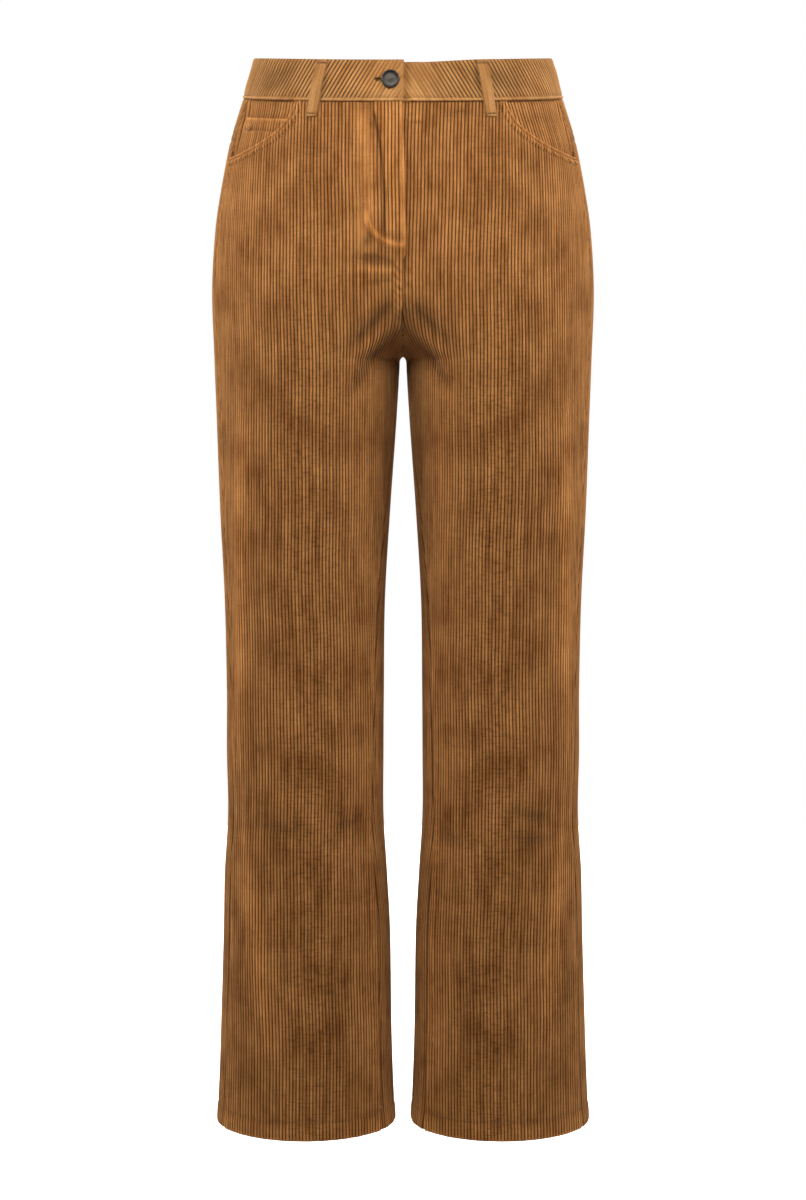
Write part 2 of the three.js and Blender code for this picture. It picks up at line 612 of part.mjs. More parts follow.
function solidGeometry(solid) {
  const { vertProperties, triVerts } = solid.getMesh();
  const geometry = new THREE.BufferGeometry();
  geometry.setAttribute("position", new THREE.Float32BufferAttribute(vertProperties, 3));
  geometry.setIndex(Array.from(triVerts));
  return geometry;
}

// The buttonhole is a slit that ends in a round eye at the button's shank.
function cutButtonhole(wasm, band) {
  const { place } = buttonSeat();
  const rise = Math.asin(BUTTONHOLE.height / 2 / BUTTONHOLE.eye);
  const outline = new THREE.Shape();
  outline.moveTo(-BUTTONHOLE.length, -BUTTONHOLE.height / 2);
  outline.absarc(0, 0, BUTTONHOLE.eye, rise - Math.PI, Math.PI - rise, false);
  outline.lineTo(-BUTTONHOLE.length, BUTTONHOLE.height / 2);
  const depth = BUTTONHOLE.through;
  const curveSegments = ROUND_SIDES - 4;
  const cutter = new THREE.ExtrudeGeometry(outline, { depth, bevelEnabled: false, curveSegments });
  cutter.translate(0, 0, -depth / 2).rotateX(Math.PI / 2).translate(place.x, place.y, place.z);
  return solidGeometry(closedSolid(wasm, band).subtract(closedSolid(wasm, cutter)));
}

// A dished metal disc with a raised rim on a round shank that passes through the buttonhole.
function buttonGeometry() {
  const { radius, rim, thickness, shank, clear } = BUTTON;
  const underside = BAND_WALL + clear;
  const { edge, crest, ledge, dishRadius, dish, boss } = BUTTON_FACE;
  const above = (share) => underside + thickness * share;
  const profile = [
    [0, 0], [shank, 0], [shank, underside], [radius - rim, underside],
    [radius, above(edge)], [radius - rim * crest, above(1)], [radius - rim, above(ledge)],
    [radius * dishRadius, above(dish)], [0, above(boss)],
  ];
  return new THREE.LatheGeometry(profile.map(([r, height]) => new THREE.Vector2(r, height)), ROUND_SIDES);
}

// ---------- assembly ----------

const wasm = await Module();
wasm.setup();

const clothFinish = { color: COLOURS.cloth, roughness: 0.95, metalness: 0 };
const bandFinish = { color: COLOURS.band, roughness: 0.95, metalness: 0 };
const metalFinish = { color: COLOURS.metal, roughness: 0.4, metalness: 0.9 };

const trousers = new THREE.Group();

function addPiece(name, geometry, finish) {
  const piece = new THREE.Mesh(geometry, new THREE.MeshStandardMaterial(finish));
  piece.name = name;
  trousers.add(piece);
  return piece;
}

for (const side of [-1, 1]) {
  const hand = side < 0 ? "right" : "left";
  const band = shell(side, "front", waistband(side));
  addPiece(`front_${hand}`, shell(side, "front", frontPanel(side)), clothFinish);
  addPiece(`back_${hand}`, shell(side, "back", backPanel()), clothFinish);
  addPiece(`yoke_${hand}`, shell(side, "back", yoke()), clothFinish);
  addPiece(`waistband_${hand}`, side < 0 ? cutButtonhole(wasm, band) : band, bandFinish);
  addPiece(`hip_facing_${hand}`, shell(side, "front", hipFacing(side)), clothFinish);
  addPiece(`back_pocket_${hand}`, shell(side, "back", backPocket()), clothFinish);
}
addPiece("coin_pocket", shell(-1, "front", coinPocket()), clothFinish);
for (const loop of LOOPS) {
  addPiece(loop.name, shell(loop.side, loop.panel, beltLoop(loop)), bandFinish);
}

const button = addPiece("button", buttonGeometry(), metalFinish);
const seat = buttonSeat();
button.quaternion.setFromUnitVectors(new THREE.Vector3(0, 1, 0), seat.normal);
button.position.copy(seat.place).addScaledVector(seat.normal, -BAND_WALL);

export default trousers;
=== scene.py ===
"""Corduroy trousers with a high waist and wide, straight legs, standing out hollow as when worn.

Shapes are worked out in millimetres, with +Z up, the front facing -Y and the wearer's left at +X,
and turned into metres when a mesh is made. An arc is a distance along the cloth, round the body,
from the centre line of its panel; a level is a height.
"""

from __future__ import annotations

import logging
import math
from dataclasses import astuple, dataclass, field
from enum import Enum

import bpy
import numpy as np
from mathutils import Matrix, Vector

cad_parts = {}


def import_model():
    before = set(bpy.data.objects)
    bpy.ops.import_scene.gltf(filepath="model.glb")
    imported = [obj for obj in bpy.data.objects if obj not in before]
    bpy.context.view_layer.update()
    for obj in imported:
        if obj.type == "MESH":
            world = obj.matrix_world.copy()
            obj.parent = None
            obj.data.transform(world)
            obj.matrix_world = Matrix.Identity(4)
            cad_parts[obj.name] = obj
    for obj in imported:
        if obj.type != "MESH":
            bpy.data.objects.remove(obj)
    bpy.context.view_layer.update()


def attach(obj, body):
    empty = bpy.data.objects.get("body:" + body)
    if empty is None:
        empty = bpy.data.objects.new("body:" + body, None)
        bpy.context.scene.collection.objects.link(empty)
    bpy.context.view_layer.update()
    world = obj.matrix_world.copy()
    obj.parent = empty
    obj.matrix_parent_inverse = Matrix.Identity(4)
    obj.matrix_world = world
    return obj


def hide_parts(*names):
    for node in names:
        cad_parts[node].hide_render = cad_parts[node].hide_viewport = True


log = logging.getLogger("trousers")

MM = 0.001
BODY = "root"

Value = bpy.types.NodeSocket | float | tuple[float, float, float, float]

# ---------- sizes of the garment ----------

WALL = 1.6
SEAM_GAP = 0.3
LAYER = WALL + 0.6
HIDDEN_EASE = 1.2

BAND_TOP = 19.0
WAIST_SEAM = -19.0
WAIST_GAP = -0.3  # below 0, because the band just laps over the panels and no light shows between
YOKE_SIDE = -57.0
YOKE_CENTRE = -88.0
FLY_END = -168.0
FLY_FOOT = 14.0
FLY_LEAN = 3.3  # how far the fly's edge drifts past the centre line on its way down
FLY_UNDERLAP = 6.0
FORK = -267.0
HEM = -1026.0
HEM_TURN = 21.0
HEM_WALL = 3.0
TOP_BLOCK_END = -95.0

GRAIN_X = 95.0
CROTCH_ROUND = {"front": 66.0, "back": 84.0}
WAIST_SLOPE = (0.088, 0.00025)  # rise of the waist per millimetre backwards, and how that falls off
WAIST_TILTED = (-150.0, -25.0)  # the levels between which the waist's tilt grows
HEM_SLOPE = 0.11
HEM_TILTED = (-1010.0, -900.0)
WANDER = ((0.7, 53.0, 2.1), (0.35, 21.0, 1.0))  # size, length and shift of the ribs' slow waves

WALE = 3.3  # from one rib of the corduroy to the next
RIB = 0.95  # height of a rib above the groove beside it
RIB_SINK = 0.6  # the grooves lie this far under the cloth's nominal face
RIB_SHAPE = 0.6  # below 1 the ribs have full, rounded tops
RIB_TURNS = (0.0, 0.2, 0.5, 0.8)  # where the mesh has its columns across one rib
CENTRE_LAP = 0.1  # how far two halves reach past the centre plane where they are sewn together
SLIVER = 0.15  # a column nearer than this to a piece's edge is welded into it
ROUNDS = 8  # rounds that settle a place which depends on where it lies
SHARP = 80.0  # degrees; a turn below this is shaded smooth


class Panel(Enum):
    """Which half of the leg a piece belongs to, and so where its arcs are counted from."""

    FRONT = "front"
    BACK = "back"


@dataclass(frozen=True)
class Ring:
    """One level section of half the trousers, in millimetres, with its seams in degrees."""

    level: float
    out: float
    mid: float
    inn: float
    front: float
    back: float
    side: float
    out_seam: float
    in_seam: float


RINGS = (
    Ring(40, 137, 28, 0, -93, 86, 0, 18, 0),
    Ring(19, 142.5, 30, 0, -95, 89, 0, 18, 0),
    Ring(-19, 153.3, 36, 0, -98, 95, 0, 18, 0),
    Ring(-59, 165.5, 48, 0, -103, 107, 0, 16, 0),
    Ring(-102, 174.4, 60, 0, -108, 120, 1, 15, 0),
    Ring(-145, 181, 70, 0, -111, 129, 2, 16, 0),
    Ring(-203, 184.6, 81, 0, -112, 133, 4, 18, 0),
    Ring(-267, 183, 89, 3.2, -109, 122, 6, 19, 0),
    Ring(-328, 180.8, 93.5, 6.5, -102, 105, 3, 19, 10),
    Ring(-416, 177.8, 95, 12.7, -91, 89, -1, 20, 18),
    Ring(-504, 173.9, 95.8, 17.8, -79, 77, -1, 20, 23),
    Ring(-593, 172.4, 95.7, 18.9, -71, 69, -1, 21, 27),
    Ring(-654, 172.8, 96, 19.3, -68, 67, 0, 23, 28),
    Ring(-714, 172, 95.7, 19.4, -66, 69, 1, 24, 30),
    Ring(-774, 176, 96, 15.9, -62, 74, 6, 24, 30),
    Ring(-834, 177.7, 95.2, 12.8, -57, 78, 10, 24, 30),
    Ring(-926, 180.9, 96.2, 11.6, -52, 78, 13, 24, 30),
    Ring(-987, 183.3, 96.6, 9.8, -49, 77, 14, 24, 30),
    Ring(-1050, 187.2, 96.8, 6.6, -47, 77, 15, 24, 30),
)


@dataclass(frozen=True)
class Fold:
    """A soft ridge (height above 0) or trough, straight between two places on a panel.

    across is the distance from the panel's grain line, outwards.
    """

    side: int
    panel: Panel
    across: tuple[float, float]
    level: tuple[float, float]
    width: float
    height: float

    def at(self, across: np.ndarray, level: np.ndarray) -> np.ndarray:
        """Returns the fold's height at each place."""
        run = (self.across[1] - self.across[0], self.level[1] - self.level[0])
        off = (across - self.across[0], level - self.level[0])
        share = np.clip((off[0] * run[0] + off[1] * run[1]) / (run[0] ** 2 + run[1] ** 2), 0, 1)
        away = np.hypot(off[0] - run[0] * share, off[1] - run[1] * share) / self.width
        return self.height * (0.35 + 0.65 * np.sin(math.pi * share)) * np.exp(-away * away)


F, B = Panel.FRONT, Panel.BACK

FOLDS = (
    # drag lines that fan out of the crotch
    Fold(-1, F, (-84, -50), (-216, -256), 5, -1.6),
    Fold(-1, F, (-88, -46), (-234, -272), 6, 1.6),
    Fold(-1, F, (-90, -48), (-252, -300), 5, -1.9),
    Fold(1, F, (-86, -56), (-218, -250), 5, -1.3),
    Fold(1, F, (-88, -50), (-238, -270), 6, 1.4),
    Fold(1, F, (-90, -56), (-258, -292), 5, -1.7),
    Fold(-1, B, (-84, -38), (-246, -300), 9, -3),
    Fold(-1, B, (-90, -46), (-276, -330), 8, 2.2),
    Fold(1, B, (-86, -44), (-252, -298), 8, -2.6),
    Fold(1, B, (-90, -36), (-282, -342), 9, 2.4),
    # short creases where the leg breaks below the knee
    Fold(-1, F, (-58, -28), (-713, -719), 7, -0.9),
    Fold(-1, F, (-2, 46), (-722, -716), 8, -1.0),
    Fold(1, F, (10, 50), (-703, -712), 8, -1.1),
    Fold(1, F, (8, 52), (-729, -733), 8, -0.9),
    Fold(1, F, (-62, -36), (-726, -738), 7, -0.8),
    Fold(-1, B, (-40, 34), (-634, -646), 11, -1.9),
    Fold(-1, B, (-18, 52), (-668, -660), 10, -1.5),
    Fold(1, B, (-30, 44), (-642, -630), 11, -1.8),
    Fold(1, B, (-48, 20), (-664, -674), 10, -1.6),
    # long soft ridges down the outer side of each leg
    Fold(-1, F, (66, 74), (-330, -660), 9, 1.6),
    Fold(1, F, (66, 72), (-320, -640), 9, 1.5),
    Fold(-1, F, (64, 38), (-735, -940), 11, 1.8),
    Fold(1, F, (62, 46), (-735, -920), 10, 1.6),
)

# Smaller creases that only the surface shows.
CREASES = (
    # beside the fly, under the waistband
    Fold(-1, F, (-71, -73), (-28, -62), 1.6, -0.9),
    Fold(-1, F, (-66, -68), (-36, -58), 1.5, -0.6),
    Fold(1, F, (-60, -30), (-32, -27), 3, -0.8),
    Fold(1, F, (-92, -76), (-35, -35), 1.6, 0.9),
    Fold(1, F, (-92, -76), (-38.5, -38), 1.8, -0.9),
    # the fold that runs across below the fly's stitching
    Fold(-1, F, (-86, -54), (-180, -174), 4.6, -2.2),
    Fold(-1, F, (-95, -46), (-188, -186), 2.6, 1.3),
    Fold(-1, F, (-94, -58), (-194, -199), 2.6, -0.9),
    Fold(-1, F, (-70, -58), (-150, -166), 4.5, -1.6),
    # short puckers where the fly seam pulls, above the crotch
    Fold(-1, F, (-96, -84), (-188, -190), 2.2, -0.9),
    Fold(-1, F, (-97, -86), (-203, -206), 2.0, -0.8),
    Fold(-1, F, (-98, -90), (-214, -222), 2.0, 0.8),
    Fold(-1, F, (-99, -90), (-220, -231), 2.0, -0.9),
    Fold(-1, F, (-101, -92), (-228, -241), 2.0, 0.8),
    Fold(1, F, (-96, -86), (-196, -203), 2.4, -0.6),
    Fold(1, F, (-99, -90), (-214, -226), 2.2, -0.7),
)


# ---------- small numeric helpers ----------


def mix(start: float, end: float, share: np.ndarray) -> np.ndarray:
    """Returns the value a share of the way from start to end."""
    return start + (end - start) * share


def smooth_step(start: float, end: float, value: np.ndarray) -> np.ndarray:
    """Returns 0 at start and 1 at end, with soft ends between them."""
    share = np.clip((value - start) / (end - start), 0, 1)
    return share * share * (3 - 2 * share)


def groove(distance: np.ndarray, centre: float, width: float) -> np.ndarray:
    """Returns a soft hump of height 1 about a centre."""
    return np.exp(-(((distance - centre) / width) ** 2))


def strip(distance: np.ndarray, start: float, end: float, soft: float) -> np.ndarray:
    """Returns 1 between two distances, with soft shoulders inside them."""
    return smooth_step(start, start + soft, distance) * (1 - smooth_step(end - soft, end, distance))


def puckers(along: np.ndarray, spacing: float, seed: float) -> np.ndarray:
    """Returns uneven waves between -1 and 1 along a seam.

    Args:
        along: Distance along the seam.
        spacing: Usual distance between two waves.
        seed: Shifts the waves, so that no two seams are alike.
    """
    turn = along / spacing + 0.45 * np.sin(along / 17.0 + seed) + 0.3 * np.sin(along / 41.0 + 2 * seed)
    size = 0.65 + 0.35 * np.sin(along / 29.0 + 3 * seed)
    return np.sin(2 * math.pi * turn) * size


# ---------- the form of the cloth ----------


class TrouserForm:
    """The cloth's outer face, as a place for each arc and level of each panel."""

    quarter_steps = 96
    shares = 1024
    nearest = 0.02  # distance from the fork to the first level of the table
    near_levels = 23
    reach = (330, 800)  # the table goes on so far above and below the fork
    parting = 4  # the legs come apart within this depth below the fork
    fullest = 0.9995  # below 1, so that a ring beside the fork doesn't shrink to nothing
    column_names = ("out", "mid", "inn", "front", "back", "side", "out_seam", "in_seam")

    def __init__(self) -> None:
        """Works out the rings at closely spaced levels, closest beside the fork."""
        near = self.nearest * np.arange(self.near_levels) ** 2
        far, down = (np.arange(near[-1] + 1, end) for end in self.reach)
        self.levels = np.concatenate([-down[::-1], -near[:0:-1], near, far]) + FORK
        self._make_rings()

    def sizes(self, levels: np.ndarray) -> dict[str, np.ndarray]:
        """Returns each column of RINGS at any levels, on smooth curves through its rows."""
        table = np.array([astuple(ring) for ring in RINGS], dtype=float)
        count = len(table)
        before = table[np.maximum(np.arange(count) - 1, 0)]
        after = table[np.minimum(np.arange(count) + 1, count - 1)]
        slope = (after - before)[:, 1:] / (after - before)[:, :1]
        row = np.clip(np.searchsorted(-table[:, 0], -levels) - 1, 0, count - 2)
        span = (table[row + 1, 0] - table[row, 0])[:, None]
        t = (levels[:, None] - table[row, :1]) / span
        keep = 2 * t**3 - 3 * t**2 + 1
        bends = (t**3 - 2 * t**2 + t) * slope[row] + (t**3 - t**2) * slope[row + 1]
        values = keep * table[row, 1:] + (1 - keep) * table[row + 1, 1:] + bends * span
        return dict(zip(self.column_names, values.T))

    def _make_rings(self) -> None:
        """Fills the table of ring points and the arcs of the seams and grain lines."""
        size = self.sizes(self.levels)
        lift = (self.levels - FORK)[:, None]
        turn = np.arange(4 * self.quarter_steps + 1)[None, :] / self.quarter_steps
        is_front = turn <= 2
        column = {name: values[:, None] for name, values in size.items()}
        depth = np.where(is_front, column["front"], column["back"]) - column["side"]
        rounding = np.where(is_front, CROTCH_ROUND["front"], CROTCH_ROUND["back"])
        turned = np.clip(lift / rounding, 0, 1)
        centre = np.minimum(self.fullest, np.sqrt(1 - (1 - turned) ** 2))
        first = np.where(lift > 0, np.arcsin(centre), 0)
        turn = np.minimum(turn, 4 - turn)
        parting = column["inn"] * np.sqrt(np.clip(-lift / self.parting, 0, 1))
        reach = (column["mid"] - parting) / np.cos(first)
        inner = mix(first, math.pi / 2, np.clip(turn, 0, 1))
        outer = turn * math.pi / 2
        wide = column["out"] - column["mid"]
        half_width = np.where(turn < 1, reach * np.cos(inner), wide * np.cos(outer))
        x = column["mid"] - half_width
        y = column["side"] + depth * np.sin(np.where(turn < 1, inner, outer))
        steps = np.hypot(np.diff(x, axis=1), np.diff(y, axis=1))
        arcs = np.concatenate([np.zeros((len(x), 1)), np.cumsum(steps, axis=1)], axis=1)
        self.perimeter = arcs[:, -1]
        even = np.linspace(0, 1, self.shares + 1)
        self.ring_x = np.array([np.interp(even * a[-1], a, v) for a, v in zip(arcs, x)])
        self.ring_y = np.array([np.interp(even * a[-1], a, v) for a, v in zip(arcs, y)])
        self.side_depth = size["side"]
        half = 2 * self.quarter_steps
        per_degree = self.quarter_steps / 90
        place = np.arange(arcs.shape[1])
        ahead = slice(half + 1)
        grain_front = np.array([np.interp(GRAIN_X, v[ahead], a[ahead]) for a, v in zip(arcs, x)])
        grain_back = np.array([np.interp(-GRAIN_X, -v[half:], a[half:]) for a, v in zip(arcs, x)])
        out_step = (180 - size["out_seam"]) * per_degree
        out_arc = np.array([np.interp(s, place, a) for s, a in zip(out_step, arcs)])
        in_step = np.where(self.levels < FORK, np.maximum(size["in_seam"], 0) * per_degree, 0)
        in_arc = np.array([np.interp(s, place, a) for s, a in zip(in_step, arcs)])
        self.lines = {
            ("grain", F): grain_front,
            ("grain", B): self.perimeter - grain_back,
            ("out_seam", F): out_arc,
            ("out_seam", B): self.perimeter - out_arc,
            ("in_seam", F): in_arc,
            ("in_seam", B): -in_arc,
        }

    def line(self, name: str, panel: Panel, level: np.ndarray) -> np.ndarray:
        """Returns the arc of a grain line or seam at any levels, from the panel's centre line."""
        return np.interp(level, self.levels, self.lines[name, panel])

    def ring_arc(self, panel: Panel, arc: np.ndarray, level: np.ndarray) -> np.ndarray:
        """Returns arcs counted from centre front."""
        return arc if panel is F else np.interp(level, self.levels, self.perimeter) - arc

    def place(self, side: int, panel: Panel, arc: np.ndarray, level: np.ndarray) -> np.ndarray:
        """Returns the points of the cloth's outer face, without its folds.

        Args:
            side: 1 for the wearer's left half and -1 for the right half.
            panel: The panel whose centre line the arcs are counted from.
            arc: Distances round the body.
            level: Heights, before the waist and the hem are tilted.

        Returns:
            An array with a last axis of x, y and z.
        """
        arc, level = np.broadcast_arrays(np.asarray(arc, float), np.asarray(level, float))
        perimeter = np.interp(level, self.levels, self.perimeter)
        along = self.ring_arc(panel, arc, level) / perimeter
        open_ring = level >= FORK
        crossed = open_ring & ((along < 0) | (along > 1))
        along = np.where(open_ring, np.where(along > 1, 2 - along, np.abs(along)), np.mod(along, 1))
        row = np.clip(np.searchsorted(self.levels, level) - 1, 0, len(self.levels) - 2)
        down = (level - self.levels[row]) / (self.levels[row + 1] - self.levels[row])
        step = np.clip((along * self.shares).astype(int), 0, self.shares - 1)
        past = along * self.shares - step
        corners = []
        for table in (self.ring_x, self.ring_y):
            lower = mix(table[row, step], table[row, step + 1], past)
            upper = mix(table[row + 1, step], table[row + 1, step + 1], past)
            corners.append(mix(lower, upper, down))
        x, y = corners
        x = np.where(crossed, -x, x)
        waist_tilt = (WAIST_SLOPE[0] - WAIST_SLOPE[1] * y) * y * smooth_step(*WAIST_TILTED, level)
        side_depth = np.interp(level, self.levels, self.side_depth)
        hem_tilt = HEM_SLOPE * (y - side_depth) * (1 - smooth_step(*HEM_TILTED, level))
        return np.stack([side * (x + SEAM_GAP / 2), y, level + waist_tilt + hem_tilt], axis=-1)

    def fold_height(self, side: int, panel: Panel, arc: np.ndarray, level: np.ndarray) -> np.ndarray:
        """Returns how far the folds and creases stand out from the form at each place."""
        perimeter = np.interp(level, self.levels, self.perimeter)
        ring_arc = self.ring_arc(panel, arc, level)
        across = {
            F: ring_arc - self.line("grain", F, level),
            B: perimeter - ring_arc - self.line("grain", B, level),
        }
        heights = []
        for table in (FOLDS, CREASES):
            height = np.zeros_like(arc)
            for fold in (fold for fold in table if fold.side == side):
                height += fold.at(across[fold.panel], level)
            heights.append(height)
        from_centre = np.minimum(ring_arc, perimeter - ring_arc)
        return heights[0] * smooth_step(0, 12, from_centre) + heights[1]


# ---------- sheets of cloth ----------


@dataclass
class Grid:
    """The places of a sheet's mesh: rows down the piece by columns along its ribs."""

    arc: np.ndarray
    level: np.ndarray
    turn: np.ndarray
    index: np.ndarray
    inner_columns: np.ndarray
    base: np.ndarray
    normal: np.ndarray
    faces: np.ndarray


def rows_between(
    drops: tuple[float, ...], count: int, rises: tuple[float, ...] = (0.0,)
) -> np.ndarray:
    """Returns rows from a piece's top edge to its foot edge, as weights of (top, foot, 1).

    Args:
        drops: Distances of the first rows below the top edge, starting with 0.
        count: Number of even steps between the last drop and the first rise.
        rises: Distances of the last rows above the foot edge, ending with 0.
    """
    rows = [(1.0, 0.0, -drop) for drop in drops]
    for step in range(1, count):
        share = step / count
        rows.append((1 - share, share, share * rises[0] - (1 - share) * drops[-1]))
    rows += [(0.0, 1.0, rise) for rise in rises]
    return np.array(rows)


def rows_down(levels: np.ndarray) -> np.ndarray:
    """Returns level rows, as weights of (top, foot, 1)."""
    return np.array([(0.0, 0.0, level) for level in levels])


def spaced(stops: tuple[tuple[float, float], ...], end: float) -> list[float]:
    """Returns levels that go down from the first stop to an end.

    Args:
        stops: Pairs of a level and the spacing that holds below it.
        end: The last level.
    """
    levels = [stops[0][0]]
    for (start, spacing), following in zip(stops, [stop[0] for stop in stops[1:]] + [end]):
        count = max(1, round((start - following) / spacing))
        levels += [start + (following - start) * (step + 1) / count for step in range(count)]
    return levels


@dataclass
class ClothPiece:
    """One piece of the cut: a thin closed shell of ribbed cloth that lies on the form.

    Subclasses say where the piece's edges run, how its ribs lean and how its surface swells.
    """

    form: TrouserForm
    side: int
    node: str
    finish: "Corduroy"
    panel: Panel = F
    lean: float = 0.0
    rib: float = RIB
    top_level: float = WAIST_SEAM - WAIST_GAP / 2
    foot_level: float = 0.0
    thickness: float = WALL
    held_by: tuple[str, ...] = ()
    made: bpy.types.Object | None = field(default=None, init=False)

    # --- what subclasses say ---

    def rows(self) -> np.ndarray:
        """Returns the rows of the mesh as weights of (top, foot, 1)."""
        raise NotImplementedError

    def top(self, arc: np.ndarray) -> np.ndarray:
        """Returns the level of the top edge, which is the waist seam unless told otherwise."""
        return np.full_like(arc, self.top_level)

    def foot(self, arc: np.ndarray) -> np.ndarray:
        """Returns the level of the foot edge."""
        return np.full_like(arc, self.foot_level)

    def inner(self, level: np.ndarray) -> np.ndarray:
        """Returns the arc of the edge nearer the centre line."""
        raise NotImplementedError

    def outer(self, level: np.ndarray) -> np.ndarray:
        """Returns the arc of the edge nearer the side, which is the side seam unless told otherwise."""
        return self.form.line("out_seam", self.panel, level) - SEAM_GAP / 2

    def origin(self, level: np.ndarray) -> np.ndarray:
        """Returns the arc of the rib that the columns are counted from."""
        lean = math.tan(math.radians(self.lean))
        wander = sum(size * np.sin(level / length + shift * self.side) for size, length, shift in WANDER)
        return self.form.line("grain", self.panel, level) - lean * level + wander

    def lift(self, arc: np.ndarray, level: np.ndarray) -> np.ndarray:
        """Returns the height of the outer face above the form."""
        return np.zeros_like(arc)

    def wall(self, level: np.ndarray) -> np.ndarray:
        """Returns the thickness of the cloth."""
        return np.full_like(level, self.thickness)

    def relief(self, arc: np.ndarray, level: np.ndarray) -> np.ndarray:
        """Returns the swellings and troughs of the outer face."""
        return np.zeros_like(arc)

    def rib_share(self, arc: np.ndarray, level: np.ndarray) -> np.ndarray:
        """Returns how full the ribs stand, from 0 to 1."""
        return np.ones_like(arc)

    def meets_centre(self, level: np.ndarray) -> np.ndarray:
        """Returns where the inner edge is sewn to the other half on the centre plane."""
        return np.zeros_like(level, dtype=bool)

    def crush(self, arc: np.ndarray, level: np.ndarray) -> np.ndarray:
        """Returns how strongly the pile is marked by wear, from 0 to 1."""
        return np.full_like(arc, 0.4)

    # --- making the mesh ---

    def pitch(self) -> float:
        """Returns the distance from rib to rib along an arc, which grows as the ribs lean."""
        return WALE / math.cos(math.radians(self.lean))

    def columns(self, rows: np.ndarray) -> np.ndarray:
        """Returns the columns' distances from the rib at the origin, across the whole piece."""
        ends = []
        for edge in (self.inner, self.outer):
            guess = np.zeros(len(rows))
            level = self.row_levels(rows, guess)
            for _ in range(ROUNDS):
                guess = edge(level)
                level = self.row_levels(rows, guess)
            ends.append(guess - self.origin(level))
        pitch = self.pitch()
        first = math.floor(ends[0].min() / pitch) - 1
        last = math.ceil(ends[1].max() / pitch) + 1
        return np.array([(rib + turn) * pitch for rib in range(first, last + 1) for turn in RIB_TURNS])

    def row_levels(self, rows: np.ndarray, arc: np.ndarray) -> np.ndarray:
        """Returns the level of one place in each row."""
        return rows[:, 0] * self.top(arc) + rows[:, 1] * self.foot(arc) + rows[:, 2]

    def grid(self) -> Grid:
        """Works out the places, the welded edges and the outward directions of the mesh."""
        rows = self.rows()
        columns = self.columns(rows)[None, :]
        weight = [rows[:, part][:, None] for part in range(3)]
        level = weight[0] * self.top(columns * 0) + weight[1] * self.foot(columns * 0) + weight[2]
        level = np.broadcast_to(level, (len(rows), columns.shape[1])).copy()
        for _ in range(ROUNDS):
            free = self.origin(level) + columns
            low, high = self.inner(level), self.outer(level)
            arc = np.clip(free, low, high)
            level = weight[0] * self.top(arc) + weight[1] * self.foot(arc) + weight[2]
        below, beyond = free <= low + SLIVER, free >= high - SLIVER
        arc = np.where(below, low, np.where(beyond, high, arc))
        first = below.sum(axis=1) - 1
        last = columns.shape[1] - beyond.sum(axis=1)
        numbers = np.arange(columns.shape[1])
        index = np.clip(numbers[None, :], first[:, None], last[:, None])
        index = index + np.arange(len(rows))[:, None] * columns.shape[1]
        turn = np.mod((arc - self.origin(level)) / self.pitch(), 1)
        base = self.form.place(self.side, self.panel, arc, level)
        faces = quads(index)
        normal = outward(base.reshape(-1, 3), faces) * self.facing()
        inner_columns = numbers[:: len(RIB_TURNS)]
        return Grid(arc, level, turn, index, inner_columns, base.reshape(-1, 3), normal, faces)

    def facing(self) -> int:
        """Returns 1 if rows by columns already wind outwards, and -1 if they wind inwards."""
        return self.side if self.panel is F else -self.side

    def surface(self, grid: Grid) -> np.ndarray:
        """Returns the heights of the outer face above the form."""
        arc, level = grid.arc, grid.level
        ribs = self.rib * np.sin(math.pi * grid.turn) ** RIB_SHAPE - RIB_SINK
        return self.lift(arc, level) + self.relief(arc, level) + ribs * self.rib_share(arc, level)

    def build(self) -> bpy.types.Object:
        grid = self.grid()
        size = grid.base.shape[0]
        height = self.surface(grid).reshape(-1)
        under = (self.lift(grid.arc, grid.level) - self.wall(grid.level)).reshape(-1)
        points = np.concatenate(
            [grid.base + grid.normal * height[:, None], grid.base + grid.normal * under[:, None]]
        )
        index = grid.index
        sewn = index[:, 0][self.meets_centre(grid.level.reshape(-1)[index[:, 0]])]
        points[sewn, 0] = points[sewn + size, 0] = -self.side * CENTRE_LAP
        lower = index[:, grid.inner_columns]
        lower = np.clip(lower, index[:, :1], index[:, -1:]) + size
        faces = grid.faces.tolist()
        faces += [face[::-1] for face in quads(lower).tolist()]
        faces += rim_faces(index, lower, size)
        faces = [clean(face) for face in faces]
        faces = [face for face in faces if len(face) > 2]
        if self.facing() < 0:
            faces = [face[::-1] for face in faces]
        across = ((grid.arc - self.origin(grid.level)) * WALE / self.pitch()).reshape(-1)
        along = (grid.level / math.cos(math.radians(self.lean))).reshape(-1)
        flat = np.stack([np.tile(across, 2), np.tile(along, 2)], axis=-1)
        # Painted shade and highlight: the colour darkens where the relief sinks (troughs of folds, rolled
        # seams, stitched grooves) and lightens where it rises, partly as rubbed pile and partly as
        # painted highlight.
        wear_and_painted_shade = np.clip(0.5 + 0.4 * self.relief(grid.arc, grid.level), 0, 1).reshape(-1)
        crush = self.crush(grid.arc, grid.level).reshape(-1)
        flattened = 1 - self.rib_share(grid.arc, grid.level).reshape(-1)
        marks = {"wear_and_painted_shade": np.tile(wear_and_painted_shade, 2), "crush": np.tile(crush, 2), "flattened": np.tile(flattened, 2)}
        self.made = mesh_object(f"{self.node}_cloth", points, faces, flat, marks)
        self.declare()
        return self.made

    def declare(self) -> None:
        """Hides the part that the piece stands for, hangs the piece on the body and gives it its finish.
        """
        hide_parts(self.node)
        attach(self.made, BODY)
        self.made.data.materials.append(self.finish.material())

